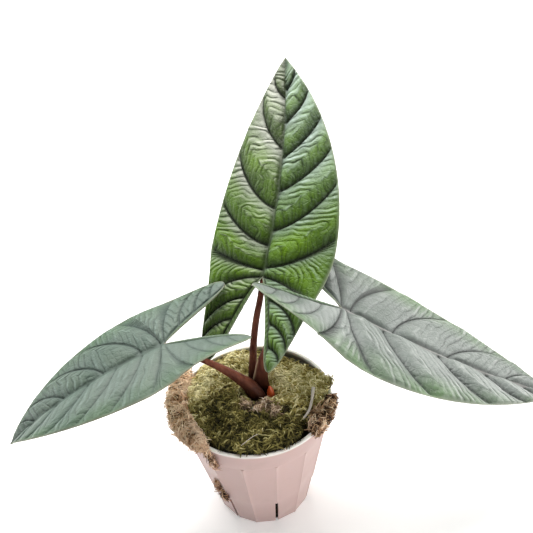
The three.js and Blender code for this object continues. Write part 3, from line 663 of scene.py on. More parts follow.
# Ridges: pitch and the heights quilt, ridge and facet in millimetres, and slant in degrees in the panel next
# to the stalk, ahead of it and near the tip
LOOKS = per_leaf(
    seed=(3, 11, 23), pitch=((3.1, 3.1), (4.6, 4), (5, 4.5)), widen=(0.3, 0.2, 0.1),
    wander=(0.5, 0.35, 0.38), quilt=(2.6, 1.2, 2.9), ridge=(1.1, 0.8, 1), facet=(0.65, 0.5, 0.65),
    middle=((0.46, 0.46), (0.3, 0.3), (0.3, 0.28)), smooth_rib=((0, 0), (0.6, 0), (0.5, 0.6)),
    halves=((1, 1), (0.7, 1), (0.8, 1)), lobes=((1, 1), (0.5, 0.8), (0.9, 0.3)),
    rib_shade=((0.8, 0.8), (0.4, 0.6), (1.5, 0.3)),
    slant=(((-34, 4, 28), (-34, 4, 34)), ((-34, 20, 35), (-20, 5, 20)), ((25, 35, 45), (-20, 31, 40))),
    slot=("blade_green", "blade_grey", "blade_silver"))
# Colours, and the strength with which each is laid on. The pale sheen colours are painted sheen and
# highlights
# # on ridges, crests, the slope below each vein and the tip; the dark colour is painted shade in grooves,
# creases,
# # above each vein and beside the midrib, and it is also the veins' own dark
PAINTS = per_leaf(
    deep=((0.024, 0.052, 0.006), (0.095, 0.135, 0.11), (0.14, 0.168, 0.15)),
    body=((0.048, 0.104, 0.009), (0.14, 0.178, 0.15), (0.21, 0.238, 0.222)),
    lime=((0.112, 0.222, 0.004), (0.135, 0.185, 0.125), (0.215, 0.255, 0.22)),
    margin=((0.07, 0.14, 0.025), (0.07, 0.15, 0.05), (0.085, 0.19, 0.045)),
    wax_left=((0.62, 0.63, 0.57), (0.3, 0.38, 0.34), (0.55, 0.58, 0.56)),
    wax_right=((0.53, 0.65, 0.59), (0.29, 0.37, 0.33), (0.6, 0.63, 0.61)),
    dark=((0.01, 0.016, 0.005), (0.04, 0.06, 0.05), (0.038, 0.045, 0.042)),
    midrib=((0.035, 0.052, 0.022), (0.08, 0.11, 0.09), (0.3, 0.29, 0.28)),
    edge=((0.42, 0.46, 0.34), (0.38, 0.34, 0.26), (0.45, 0.46, 0.38)), face=(0.95, 0.4, 0.4),
    rim=(0.35, 0.7, 0.75), lip=(0.55, 0.08, 0.35), ridge=(0.3, 0.6, 0.65), tip_ridge=(0.6, 0, 0.15),
    crest=(0.16, 0.3, 0.25), comb=(0.07, 0.2, 0.2), bloom=(0.36, 0, 0.15), shade=(0.75, 0.32, 0.6),
    crease=(0.65, 0.6, 0.6), flute=(0.6, 0.4, 0.35), vein=(0.88, 0.65, 0.9), rough=(0.38, 0.42, 0.32),
    specular=(0.18, 0.25, 0.3), coat=(0.04, 0.03, 0.06))


def add_blades():
    for name, paint in PAINTS.items():
        look = LOOKS[name]
        make_blade(name, look, leaf_material("leaf_" + look["slot"], paint, look))


# Leaf stalks: stations are x, y, z, half width, half depth

STALKS = {
    "centre": ((1, 0, 0), [
        (0.6, 6.6, 72, 2.2, 2.2), (0.3, 6.5, 84, 2.4, 2.4), (0.2, 6.6, 92, 2.3, 2.3),
        (1.5, 9, 100.7, 2.1, 2.1), (2.6, 13, 108.5, 2, 2), (5.6, 18, 122.7, 1.9, 1.9),
        (8.9, 22, 133.6, 1.8, 1.8), (10.9, 24.8, 141.6, 1.7, 1.7), (12.2, 27.4, 145.9, 1.4, 1.4),
        (14.3, 31.7, 149.9, 0.7, 0.7)]),
    "left": ((0, 1, 0), [
        (2.9, -3.4, 72, 3.8, 4.2), (2.6, -3.2, 81, 4.4, 4.9), (-1.2, -2, 90, 4, 4.2),
        (-6.7, -1.2, 96.4, 3.1, 3.2), (-11.8, -1, 101.8, 2.5, 2.6), (-18, -1, 107.6, 2, 2),
        (-24.7, -1, 112.9, 1.7, 1.7), (-34.8, -1, 120.4, 1.6, 1.6), (-41.8, -1.1, 124.9, 1.5, 1.5),
        (-45.5, -1.1, 126.2, 1.3, 1.3), (-51, -2.2, 125.0, 0.7, 0.7)]),
    "right": ((1, 0, 0), [
        (6.3, 3.2, 72, 3, 3), (5.6, 3, 84, 3.8, 3), (4.6, 3, 90, 4.3, 2.7), (5.4, 3.4, 96, 3.8, 2.6),
        (6.4, 4.4, 102, 3, 2.4), (8.2, 5.4, 107.6, 2.1, 2.1), (13.7, 7, 118.6, 1.9, 1.9),
        (23.3, 9, 126.4, 1.8, 1.8), (32.4, 9, 130.2, 1.8, 1.8), (42.3, 7, 133.0, 1.7, 1.7),
        (48.5, 5.2, 134.7, 1.6, 1.6), (52.5, 4.2, 135.1, 1.3, 1.3), (57.5, 3.2, 132.2, 0.7, 0.7)]),
}


def stalk_material():
    s = Shader("stalk")
    streaks = s.cloud(260, 3, 0.6, s.stretched((1, 1, 0.08)))
    light = s.ramp(streaks, (0.35, 0), (0.7, 1))
    colour = s.mix(light, (0.075, 0.02, 0.013), (0.2, 0.068, 0.04))
    foot = s.mix(s.ramp(s.cloud(160, 4), (0.4, 0), (0.65, 1)), (0.01, 0.002, 0.001), (0.05, 0.013, 0.005))
    colour = s.mix(s.mark("foot"), colour, foot)
    colour = s.mix(s.mark("sheath"), colour, (0.5, 0.36, 0.24))
    s.bump(streaks, 0.25, 0.0003)
    return s.set(colour=colour, rough=0.5, specular=0.1, coat=0.0)


def fluting(u, a):
    """Shallow ribs along a stalk, which turn a little as they climb."""
    return 1 + 0.035 * np.cos(7 * a + 3 * u) + 0.02 * np.cos(13 * a)


def add_stalks():
    material = stalk_material()
    for name, (wide, stations) in STALKS.items():
        sides, steps = 28, 110
        rings = sweep(stations, wide, sides, steps, fluting)
        points, faces = loft(rings)
        foot = 1 - smooth(points[:, 2], 84, 104)
        # The right stalk's sheath has a pale dry edge on the side towards the centre stalk
        angle = np.append(np.tile(np.arange(sides) * 2 * np.pi / sides, steps), (0, 0))
        height = smooth(points[:, 2], 90, 94) * (1 - smooth(points[:, 2], 103, 106))
        sheath = bell(angle - 3.5, 0.22) * height * (name == "right")
        marks = dict(foot=foot, sheath=0.8 * sheath)
        make_mesh("petiole_" + name, points, faces, material, "stalk", "stalk_" + name, marks)


# Pot: outside as heights and distances from the panels, rim as heights and radii, inside as heights

COLLAR_Z = 66
LIP_Z = 76.5
RIM_RADIUS = 45
FACETS = 14
FACET = 360 / FACETS
PANEL_POINTS = 18
CORNER_PHASE = -77.7
WALL = 1.3
POT_OUTSIDE = (
    (0, -0.9), (0.25, -0.35), (0.9, 0), (8, 0), (16, 0), (24.4, 0), (24.7, 0.12), (25, 0.25), (38, 0.2),
    (52, 0.15), (65.3, 0.1), (65.6, 0.3))
POT_RIM = (
    (65.95, 42.25), (66.5, 42.55), (72, 43.3), (77, 44), (77.35, 44.35), (77.7, 44.8), (78.3, 45), (79.2, 45),
    (79.7, 44.8), (79.95, 44.4), (80, 43.9), (79.95, 43.3), (79.7, 42.85), (79.2, 42.65), (77.6, 42.45),
    (72, 41.8), (66, 41))
POT_INSIDE = (62, 30, 1.6)
SLIT_WIDTH = 1.8
SLIT_HEIGHT = 23
# Length of what cuts a slit, along the pot's radius, and the distance of its middle from the axis
CUTTER_LENGTH = 20
CUTTER_AT = 30
# Edges steeper than this, in degrees, stay sharp
SHARP_EDGE = 28


def taper(z):
    return 28 + 0.2197 * z


def panel_radius(degrees, z):
    turned = np.mod(degrees - CORNER_PHASE, FACET)
    half = math.radians(FACET / 2)
    recess = 0.3 * smooth(np.minimum(turned, FACET - turned), 0.5, 1.6)
    return taper(z) * math.cos(half) / np.cos(np.radians(turned - FACET / 2)) - recess


def pot_material():
    s = Shader("pot")
    # The body's pinkish grey is painted shade and pink bounce light; the plastic is white, as at the top of
    # the lip
    tone = s.mix(s.cloud(9, 2), (0.52, 0.37, 0.345), (0.59, 0.42, 0.395))
    smudge = s.ramp(s.cloud(60, 5, 0.7), (0.58, 0), (0.8, 0.35))
    colour = s.mix(smudge, tone, (0.42, 0.31, 0.26))
    colour = s.mix(s.mark("lip"), colour, (0.9, 0.87, 0.82))
    # Painted shade on the inner wall
    colour = s.mix(s.mark("stain"), colour, (0.13, 0.105, 0.07))
    scuff = s.ramp(s.cloud(500, 2, 0.6, s.stretched((1, 1, 0.15))), (0.45, 0), (0.8, 1))
    s.bump(scuff, 0.06, 0.0002)
    rough = s.plus(s.times(s.cloud(120, 3), 0.2), 0.34)
    return s.set(colour=colour, rough=rough, specular=0.4, scatter=0.05, scatter_scale=0.003)


def add_pot():
    degrees = CORNER_PHASE + np.linspace(0, 360, FACETS * PANEL_POINTS, endpoint=False)
    rings = [polar(panel_radius(degrees, z) + extra, degrees, z) for z, extra in POT_OUTSIDE]
    rings += [polar(radius, degrees, z) for z, radius in POT_RIM]
    rings += [polar(panel_radius(degrees, z) - WALL, degrees, z) for z in POT_INSIDE]
    points, faces = loft(rings)
    heights = np.array([ring[0, 2] for ring in rings])
    inner_side = np.arange(len(rings)) > int(np.argmax(heights))
    whiter = np.maximum(smooth(heights, 78.4, 79.2), inner_side & (heights > 60))
    lip = np.append(np.repeat(whiter, len(degrees)), (0, 0))
    # The inner wall below the rim is painted dark brown, as the shade in the gap between the moss and the
    # wall
    stain = np.append(np.repeat(0.85 * (inner_side & (heights < 79)), len(degrees)), (0, 0))
    marks = dict(lip=lip, stain=stain)
    pot = make_mesh("pot_shell", points, faces, pot_material(), "pot_plastic", "pot", marks)
    cutters = []
    for i in range(FACETS // 2):
        angle = math.radians(CORNER_PHASE + 2 * FACET * i)
        bpy.ops.mesh.primitive_cube_add(size=1)
        cutter = bpy.context.object
        cutter.scale = (CUTTER_LENGTH * MM, SLIT_WIDTH * MM, (SLIT_HEIGHT + 1) * MM)
        cutter.rotation_euler = (0, 0, angle)
        middle = (CUTTER_AT * math.cos(angle), CUTTER_AT * math.sin(angle), (SLIT_HEIGHT - 1) / 2)
        cutter.location = [value * MM for value in middle]
        cutters.append(cutter)
        cut = pot.modifiers.new("slit", "BOOLEAN")
        cut.operation = "DIFFERENCE"
        cut.solver = "EXACT"
        cut.object = cutter
    bpy.context.view_layer.update()
    done = bpy.data.meshes.new_from_object(pot.evaluated_get(bpy.context.evaluated_depsgraph_get()))
    pot.modifiers.clear()
    pot.data = done
    done.set_sharp_from_angle(angle=math.radians(SHARP_EDGE))
    for cutter in cutters:
        bpy.data.objects.remove(cutter)


# Moss: edge radius and edge height by angle

MOSS_EDGE = np.array([
    (-180, 37.5, 84.5), (-160, 37.5, 84.5), (-140, 39, 83.5), (-125, 42, 82.2), (-110, 43, 81.9),
    (-90, 43.2, 81.9), (-62, 43, 81.8), (-46, 38.5, 81.5), (-30, 36.5, 82), (-14, 40, 83),
    (-3, 43, 84), (5, 46, 84.6), (13, 42.5, 83.6), (30, 38.5, 82.5), (50, 37.5, 81.5),
    (70, 38.5, 79.5), (90, 41, 77.6), (120, 41, 79), (150, 39, 83), (180, 37.5, 84.5),
])
# Depth of the hollow round the stalks, where they and the bud come out, and a height just over the rim
STALK_HOLLOW = 4.6
STALK_SPOT = (1.5, -0.5)
BUD_SPOT = (9.8, -2)
OVER_RIM_Z = 80.9


def moss_edge(degrees):
    d = np.mod(np.asarray(degrees, float) + 180, 360) - 180
    i = np.clip(np.searchsorted(MOSS_EDGE[:, 0], d, side="right") - 1, 0, len(MOSS_EDGE) - 2)
    a, b = MOSS_EDGE[i], MOSS_EDGE[i + 1]
    t = smooth((d - a[..., 0]) / (b[..., 0] - a[..., 0]), 0, 1)
    return a[..., 1] + (b[..., 1] - a[..., 1]) * t, a[..., 2] + (b[..., 2] - a[..., 2]) * t


def moss_top(degrees, fraction):
    edge, height = moss_edge(degrees)
    points = polar(edge * fraction, degrees, height)
    x, y = points[..., 0], points[..., 1]
    dome = (86 - height) * (1 - fraction ** 2)
    hollow = STALK_HOLLOW * np.exp(-((x - 4) ** 2 + (y + 1) ** 2) / 85)
    lump = 1.1 * noise(x / 6.5 + 9, y / 6.5 + 4, 2) + 0.5 * noise(x / 3, y / 3, 7)
    points[..., 2] = height + dome - hollow + lump * (1 - 0.35 * fraction ** 6)
    return points


def tufts(x, y):
    """Small tufts and pits of the strands, from -1 to 1."""
    return np.clip(1.3 * noise(x / 2.7, y / 2.7, 11) + 0.6 * noise(x / 1.5, y / 1.5, 17), -1, 1)


def add_strands(
        name, roots, heading, up, length, radius, lift, curl, material, tint, warmth, slot, segments=4):
    """Thin curved fibres of three sides: each starts at its root, runs along its heading, rises and bends."""
    count = len(roots)
    s = np.linspace(0, 1, segments + 1)
    side = unit(np.cross(up, heading))
    path = (roots[:, None] + heading[:, None] * (length[:, None] * s)[..., None]
            + up[:, None] * (lift[:, None] * np.sin(np.pi * s * 0.9))[..., None]
            + side[:, None] * (curl[:, None] * s ** 2)[..., None])
    along = unit(np.gradient(path, axis=1))
    first = unit(np.cross(along, up[:, None]))
    second = np.cross(along, first)
    angle = np.linspace(0, 2 * np.pi, 3, endpoint=False)
    thick = radius[:, None] * (1 - 0.72 * np.abs(2 * s - 0.8).clip(0, 1) ** 2)
    ring = first[:, :, None] * np.cos(angle)[:, None] + second[:, :, None] * np.sin(angle)[:, None]
    points = (path[:, :, None] + ring * thick[..., None, None]).reshape(-1, 3)
    each = (segments + 1) * 3
    row = np.arange(count)[:, None, None] * each + np.arange(segments)[None, :, None] * 3
    j = np.arange(3)
    k = (j + 1) % 3
    quads = np.stack([row + j, row + k, row + 3 + k, row + 3 + j], -1).reshape(-1, 4)
    marks = dict(tint=np.repeat(tint, each), warmth=np.repeat(warmth, each))
    make_mesh(name, points, quads, material, slot, marks=marks)


def fibre_material(name, cool, warm):
    """Two colour scales from dark to pale, blended by the strands' warmth."""
    s = Shader(name)
    value = s.minus(s.plus(s.mark("tint"), s.times(s.cloud(90, 3), 0.24)), 0.12)
    scales = [s.ramp(value, *zip((0.0, 0.35, 0.7, 1.0), scale)) for scale in (cool, warm)]
    colour = s.mix(s.mark("warmth"), *scales)
    return s.set(colour=colour, rough=0.8, specular=0.25)


MOSS_COOL = ((0.008, 0.008, 0.001), (0.072, 0.062, 0.012), (0.26, 0.225, 0.065), (0.55, 0.5, 0.23))
MOSS_WARM = ((0.02, 0.014, 0.003), (0.19, 0.15, 0.036), (0.56, 0.46, 0.17), (0.9, 0.82, 0.5))
DRY_COOL = ((0.045, 0.03, 0.018), (0.27, 0.185, 0.11), (0.66, 0.49, 0.34), (0.85, 0.75, 0.64))
DRY_WARM = ((0.035, 0.02, 0.012), (0.26, 0.17, 0.11), (0.68, 0.5, 0.38), (0.9, 0.76, 0.64))
# Dry beige tufts in the front: x, y, reach
DRY_TUFTS = ((-5.4, -11.6, 3.4), (6, -11.5, 4), (10.8, -17, 4), (2, -14.5, 2.5))
# The hollow inside the rim, front right: fewer strands grow there, and those left are painted dark as shade
HOLLOW = (30, -20, 9)


def near(points, x, y, reach):
    """One at a spot, and fading to nothing beyond its reach."""
    return np.exp(-((points[:, 0] - x) ** 2 + (points[:, 1] - y) ** 2) / reach ** 2)


def moss_shade(points):
    """Lightness and warmth of the moss: dark olive in front, pale straw behind and to the right, with painted
    shade in the gap by the wall at the back right and in the hollow at the front right.
    """
    x, y = points[:, 0], points[:, 1]
    patch = noise(x / 8 + 3, y / 8, 5)
    behind = smooth(0.85 * np.maximum(x, 0) + y + 4 * patch, -16, 9)
    hollow = near(points, *HOLLOW)
    left = smooth(-x, 18, 34)
    degrees = np.degrees(np.arctan2(y, x))
    ditch = smooth(degrees, 12, 28) * (1 - smooth(degrees, 75, 95))
    ditch *= smooth(np.hypot(x, y) / moss_edge(degrees)[0], 0.8, 0.95)
    light = 0.24 - 0.4 * ditch + 0.38 * behind - 0.07 * smooth(y, 12, 30) + 0.08 * left
    light += 0.14 * patch - 0.42 * hollow
    warm = np.clip(0.06 + 0.75 * behind + 0.3 * left + 0.25 * noise(x / 5, y / 5, 8), 0, 1)
    return light, warm


def clear_of(points, x, y, reach):
    """Chance that a strand is kept: low within reach of a spot."""
    away = np.hypot(points[:, 0] - x, points[:, 1] - y)
    return smooth(away, 0.8 * reach, 1.15 * reach)


def lay_strands(name, roots, outward, long, lift, rise, radius, shades, material, slot, segments):
    """Short curled strands over the moss, turned any way and tilted outwards at its edge."""
    count = len(roots)
    turn = rng.uniform(0, 2 * np.pi, count)
    up = unit(outward + (0, 0, 1))
    heading = np.stack([np.cos(turn), np.sin(turn), rng.normal(0.1, 0.35, count)], -1)
    heading = unit(heading - up * np.sum(heading * up, axis=1, keepdims=True) * 0.7)
    length = long * rng.uniform(0.5, 1.3, count)
    tuft = tufts(roots[:, 0], roots[:, 1])
    base = roots - heading * (length * 0.5)[:, None] + up * (rise + 0.7 * tuft - 0.7)[:, None]
    light, warm, spread = shades
    # Strands on the tops of tufts are painted paler and those in pits darker, as light and shade
    tint = np.clip(light + 0.26 * tuft + spread * rng.random(count) ** 1.7, 0, 1)
    warmth = np.clip(warm + rng.normal(0, 0.2, count), 0, 1)
    add_strands(
        name, base, heading, up, length, rng.uniform(*radius, count), lift * rng.uniform(0.2, 1.3, count),
        rng.normal(0, 0.34, count) * length, material, tint, warmth, slot, segments)


def add_moss():
    material = fibre_material("moss", MOSS_COOL, MOSS_WARM)
    degrees = np.linspace(-180, 180, 180, endpoint=False)
    edge, top = moss_edge(degrees)

    def wall(reach, height):
        z = np.minimum(height, top - (OVER_RIM_Z - height) * 0.5 - 0.5)
        return polar(np.minimum(edge, reach), degrees, z)

    rings = [wall(40.6, 70.35), wall(41.6, 75.5), wall(42.2, 79.9), wall(60, 80.75)]
    rings += [moss_top(degrees, f) - (0, 0, 0.9) for f in np.linspace(0.985, 0.03, 46)]
    points, faces = loft(rings)
    rough = 0.6 * tufts(points[:, 0], points[:, 1]) - 0.4
    points[:, 2] += rough * (points[:, 2] > OVER_RIM_Z)
    light, warm = moss_shade(points)
    # The bed under the strands is painted far darker, as the shade between them
    make_mesh("moss_bed", points, faces, material, "moss", "moss_cover", dict(tint=0.2 * light, warmth=warm))
    # Deep strands painted dark as the shade inside the mat, the tangle, and pale ones on top: count, length,
    # lift,
    #     # rise, paleness and its spread
    layers = (
        (3600, 5.5, 0.5, -0.2, -0.14, 0.1), (4600, 4.8, 0.9, 0.3, -0.04, 0.26),
        (3800, 4.2, 1.3, 0.8, 0.03, 0.55))
    for n, (count, long, lift, rise, pale, spread) in enumerate(layers):
        angle = rng.uniform(-180, 180, count)
        fraction = np.sqrt(rng.random(count)) * 0.995
        roots = moss_top(angle, fraction)
        chance = clear_of(roots, *BUD_SPOT, 4.5) * clear_of(roots, *STALK_SPOT, 7)
        chance *= 1 - 0.85 * near(roots, *HOLLOW)
        gap = smooth(angle, 18, 32) * (1 - smooth(angle, 78, 95))
        chance *= 1 - gap * smooth(fraction, 0.86, 0.93)
        kept = rng.random(count) < chance
        roots, fraction, angle = roots[kept], fraction[kept], angle[kept]
        outward = polar(0.9 * smooth(fraction, 0.9, 1.0), angle, 0)
        light, warm = moss_shade(roots)
        lay_strands(
            f"moss_strands_{n + 1}", roots, outward, long, lift, rise, (0.28, 0.56),
            (light + pale, warm, spread), material, "moss", 3 if n == 0 else 4)
    # Dry beige tufts in front of the stalks
    dry = fibre_material("dry_moss", DRY_COOL, DRY_WARM)
    x, y, reach = np.repeat(np.array(DRY_TUFTS), 100, axis=0).T
    x, y = (at + rng.normal(0, 0.5, len(at)) * reach for at in (x, y))
    angle = np.degrees(np.arctan2(y, x))
    roots = moss_top(angle, np.hypot(x, y) / moss_edge(angle)[0])
    lay_strands(
        "moss_dry", roots, 0 * roots, 4.0, 1.6, 1.1, (0.22, 0.4), (0.12, 0.35, 0.6), dry, "moss", 4)


# Coir over the rim: angles in degrees, reach, rise and droop from one end to the other, and the part
# of its length over which the dense core gets slimmer

COIR_STRAW = ((0.06, 0.034, 0.016), (0.42, 0.25, 0.13), (0.98, 0.65, 0.39), (1.0, 0.82, 0.6))
COIR_BROWN = ((0.035, 0.014, 0.008), (0.28, 0.14, 0.08), (0.7, 0.44, 0.28), (0.95, 0.72, 0.54))
COIR_CLUMPS = {
    "left": dict(
        start=146, end=232, steps=60, reach=(50.4, 48), rise=(5.2, 4.2), droop=(6.5, 3.5),
        slim=(0.5, 0.8), seed=3),
    "right": dict(
        start=-47, end=-8, steps=36, reach=(47.6, 46.8), rise=(3.4, 3.4), droop=(2.4, 1.4),
        slim=(0, 0.1), seed=11),
}
# Radius and height towards which a clump thins out at its ends
COIR_HEART = (45.9, 80.9)
# Angle, height and radius along each trail down the pot, the node it stands for, and its count of fibres
COIR_TRAILS = {
    "coir_trail": ([(-129, 79.5, 1.3), (-125.5, 75, 1.2), (-124.3, 69, 0.9), (-125, 63, 0.6)], None, 170),
    "coir_patch": (
        [(-137.5, 40, 0.6), (-135, 36, 1.1), (-131.5, 30, 1.1), (-128.5, 25, 0.6)], "coir_side", 190),
}


def coir_ring(degrees, t, clump):
    """Section of a clump that lies over the rim, with the same stations as the CAD's."""
    ranges = (clump[key] for key in ("reach", "rise", "droop"))
    reach, rise, droop = (low + (high - low) * t for low, high in ranges)
    inner = moss_edge(degrees)[0] + 0.9
    fat = min(1, 0.25 + 2.4 * math.sin(math.pi * t))
    section = np.array([
        (min(inner, RIM_RADIUS), 80.5), (min(inner + 0.6, RIM_RADIUS), 80.5 + rise * 0.6),
        ((inner + RIM_RADIUS) / 2, 80.5 + rise),
        (46.5, 80.4 + rise * 0.95), (reach - 0.6, 80 + rise * 0.5), (reach, 79),
        (reach - 0.8, 80 - droop * 0.55), (46.6, 80 - droop), (45.6, 80 - droop * 0.7), (45.5, 80.45)])
    j = np.arange(10)
    free = ((j >= 2) & (j <= 7)).astype(float)
    bump = free * noise(degrees / 5 + clump["seed"], j * 1.3, clump["seed"])
    r0, z0 = COIR_HEART
    r = r0 + (section[:, 0] + bump - r0) * fat
    return polar(r, degrees, z0 + (section[:, 1] + 0.9 * bump - z0) * fat)


def coir_core_marks(points):
    # The core of a clump or trail is painted dark, as the shade among its fibres
    return dict(tint=np.full(len(points), 0.1), warmth=np.full(len(points), 0.6))


def coir_core(name, clump, material, node):
    """The dense inside of a clump, painted dark as the shade among its fibres, a little thinner than the
    clump and lumpy.
    """
    rings = [coir_ring(clump["start"] + (clump["end"] - clump["start"]) * t, t, clump)
             for t in np.linspace(0, 1, clump["steps"])]
    closed = [np.vstack([ring, ring[:1]]) for ring in rings]
    dense = np.array([spline(ring, 41)[:-1] for ring in closed])
    middle = dense.mean(1, keepdims=True)
    slim = 0.8 - 0.3 * smooth(np.linspace(0, 1, len(dense)), *clump["slim"])
    points, faces = loft(middle + (dense - middle) * slim[:, None, None])
    points += 0.9 * noise(*points.T / 2.2)[:, None] * [1, 1, 0.6]
    make_mesh(name, points, faces, material, "coir", node, coir_core_marks(points))
    return dense


def coir_fibres(name, surface, count, long, material, low, high, radius=(0.17, 0.42), shell=0.9):
    """Frizzy fibres in a shell round a clump: they start near a grid of its surface points."""
    steps, around, _ = surface.shape
    i = rng.integers(1, steps - 1, count)
    j = rng.integers(0, around, count)
    here = surface[i, j]
    up = unit(here - surface[i].mean(1))
    along = unit(surface[i + 1, j] - surface[i - 1, j])
    cross = np.cross(up, along)
    turn = rng.uniform(0, 2 * np.pi, count)
    heading = along * np.cos(turn)[:, None] + cross * np.sin(turn)[:, None]
    heading = unit(heading + up * rng.normal(0.15, 0.35, count)[:, None])
    length = long * rng.uniform(0.35, 1.3, count)
    patch = noise(*here.T / 2.6)
    clump = noise(here[:, 0] / 6 + 2, here[:, 1] / 6, here[:, 2] / 6)
    depth = shell * (rng.uniform(-1.8, 0.7, count) + 1.5 * patch)
    roots = here - heading * (length * 0.45)[:, None] + up * depth[:, None]
    # Fibres lying deeper in the shell are painted darker, as shade
    tint = low + (high - low) * rng.random(count) ** 1.2 + 0.3 * patch + 0.4 * clump + 0.2 * depth / shell
    tint = np.clip(tint, 0, 1)
    warmth = np.clip(0.45 + 0.4 * patch + rng.normal(0, 0.25, count), 0, 1)
    add_strands(
        name, roots, heading, up, length, rng.uniform(*radius, count), rng.uniform(-0.4, 1.6, count),
        rng.normal(0, 0.35, count) * length, material, tint, warmth, "coir")


def clump_path(stations):
    path = []
    for degrees, z, radius in stations:
        if z > COLLAR_Z:
            wall = RIM_RADIUS if z > LIP_Z else taper(z) + 0.1
        else:
            wall = float(panel_radius(np.array(degrees), z)) + 0.25
        path.append((*polar(wall + GAP + radius, degrees, z), radius * 1.5, radius))
    return path


def add_coir():
    material = fibre_material("coir", COIR_STRAW, COIR_BROWN)
    # The right clump lies by the dark hollow inside the rim, and its fibres are painted darker as shade
    for side, count, long, low, high in (("left", 3600, 6.5, 0.65, 1.6), ("right", 900, 5, 0.0, 1.15)):
        surface = coir_core(f"coir_{side}_core", COIR_CLUMPS[side], material, "coir_" + side)
        coir_fibres(f"coir_{side}_fibres", surface, count, long, material, low, high)
    for name, (stations, node, count) in COIR_TRAILS.items():
        path = clump_path(stations)
        out = np.array([path[0][0], path[0][1], 0]) / math.hypot(path[0][0], path[0][1])
        rings = sweep(path, np.cross((0, 0, 1), out), 20, 40)
        middle = rings.mean(1, keepdims=True)
        points, faces = loft(middle + (rings - middle) * 0.35)
        points += 0.2 * (noise(*points.T / 1.4)[:, None] + 0.6) * out
        make_mesh(name, points, faces, material, "coir", node, coir_core_marks(points))
        coir_fibres(name + "_fibres", rings, count, 5, material, 0.1, 1.0, (0.12, 0.25), 0.7)


# Small pieces on the moss: stations are x, y, z, half width, half depth

BUD = [
    (9.8, -2.4, 77, 1.7, 1.7), (9.9, -2.3, 82, 2.4, 2.4), (9.8, -2, 86, 1.8, 1.8), (9.5, -1.7, 89, 0.6, 0.6)]
DRY_STRIP = [
    (34.4, -2.6, 85.8, 0.9, 0.5), (33, -10, 85.6, 0.9, 0.5), (30.3, -18.7, 84.4, 0.7, 0.45),
    (26.2, -24.6, 83.8, 0.45, 0.4)]
PALE_THREAD = [
    (-10, -40, 83.2, 0.15, 0.15), (-6.5, -37.8, 84.2, 0.2, 0.2), (-2.5, -35, 84.8, 0.2, 0.2),
    (1, -33.2, 85, 0.15, 0.15)]


def add_small_pieces():
    s = Shader("bud")
    tone = s.mix(s.ramp(s.mark("tip"), (0.1, 0), (0.8, 1)), (0.12, 0.014, 0.006), (0.5, 0.08, 0.018))
    s.bump(s.cloud(300, 3), 0.2, 0.0002)
    bud_material = s.set(colour=tone, rough=0.35, specular=0.5, coat=0.2)
    rings = sweep(BUD, (1, 0, 0), 24, 40, lambda u, a: 1 + 0.04 * np.cos(3 * a + 5 * u))
    points, faces = loft(rings)
    make_mesh("bud", points, faces, bud_material, "bud", "shoot_bud", dict(tip=(points[:, 2] - 78) / 10))
    s = Shader("dry_leaf")
    fibres = s.cloud(300, 4, 0.6, s.stretched((1, 0.15, 1)))
    s.bump(fibres, 0.4, 0.0004)
    pale = s.set(colour=s.mix(fibres, (0.44, 0.37, 0.34), (0.8, 0.74, 0.69)), rough=0.7, specular=0.2)
    rings = sweep(DRY_STRIP, (1, 0, 0), 16, 50, lambda u, a: 1 + 0.2 * np.cos(2 * a + 8 * u))
    make_mesh("dry_leaf_strip", *loft(rings), pale, "dry_leaf", "dry_strip")
    make_mesh("dry_leaf_thread", *loft(sweep(PALE_THREAD, (0, 0, 1), 8, 24)), pale, "dry_leaf")


def inner_materials():
    s = Shader("mix")
    bark = ((0.3, (0.004, 0.003, 0.002)), (0.55, (0.02, 0.012, 0.007)), (0.75, (0.1, 0.06, 0.035)))
    colour = s.ramp(s.cloud(150, 4, 0.7), *bark)
    s.bump(s.cells(220), 0.8, 0.002)
    mix = s.set(colour=colour, rough=0.9, specular=0.15)
    for node in ("growing_mix", "rootstock"):
        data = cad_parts[node].data
        data.materials.clear()
        data.materials.append(mix)


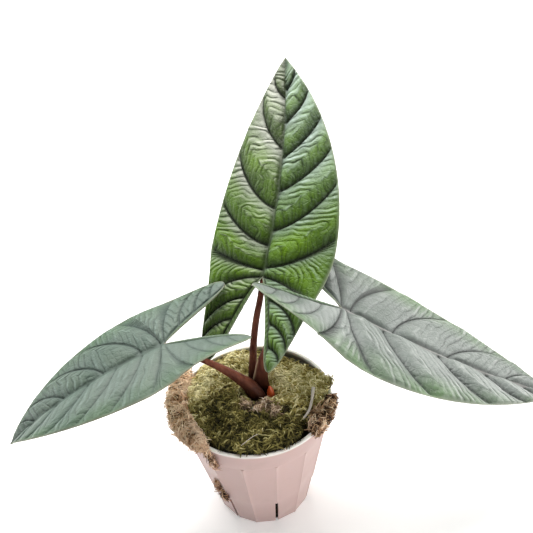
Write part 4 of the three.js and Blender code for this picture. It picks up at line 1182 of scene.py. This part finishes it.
# Floor, light and view


def add_studio():
    s = Shader("floor")
    tone = s.mix(s.cloud(3, 2), (0.93, 0.93, 0.93), (0.95, 0.95, 0.95))
    s.feed(s.surface.inputs["Emission Color"], (1.0, 1.0, 1.0))
    floor_material = s.set(colour=tone, rough=0.9, specular=0.1, glow=0.3)
    bpy.ops.mesh.primitive_plane_add(size=6)
    floor = bpy.context.object
    floor.name = "floor"
    floor.data.materials.append(floor_material)
    # Bright behind, fairly bright above, dim in front
    sky = Shader("studio", "worlds")
    where = sky.make("SeparateXYZ", 0, {0: sky.make("TexCoord", "Generated")}).node.outputs
    height = sky.plus(sky.times(where["Z"], 0.4), where["Y"])
    inputs = {"Value": height, "From Min": -0.5, "From Max": 1.1, "To Min": 0.1, "To Max": 0.44}
    sky.feed(sky.surface.inputs["Strength"], sky.make("MapRange", "Result", inputs))
    sky.feed(sky.surface.inputs["Color"], (1, 1, 1))
    bpy.context.scene.world = sky.owner
    # Lamps: name, place and size in metres, power in watts, and colour
    lamps = (
        ("top", (-0.1, 0.4, 1.1), (1.0, 0.9), 22, (1.0, 0.985, 0.965)),
        ("back_right", (1.0, 1.05, 0.5), (1.3, 0.8), 9, (1.0, 0.955, 0.94)),
        ("back_left", (-1.0, 1.05, 0.5), (1.3, 0.8), 5, (0.86, 0.96, 1.0)),
        ("front", (1.1, -0.75, 0.4), (0.5, 0.5), 7, (1.0, 0.97, 0.95)),
    )
    target = Vector((0, 0, 0.11))
    for name, at, size, power, colour in lamps:
        data = bpy.data.lights.new(name, "AREA")
        data.shape = "RECTANGLE"
        data.size, data.size_y = size
        data.energy = power
        data.color = colour
        lamp = bpy.data.objects.new(name, data)
        lamp.location = at
        lamp.rotation_euler = (target - Vector(at)).to_track_quat("-Z", "Y").to_euler()
        bpy.context.scene.collection.objects.link(lamp)
    bpy.context.scene.view_settings.view_transform = "Standard"


add_camera()
add_studio()
add_pot()
add_moss()
add_coir()
add_stalks()
add_blades()
add_small_pieces()
inner_materials()
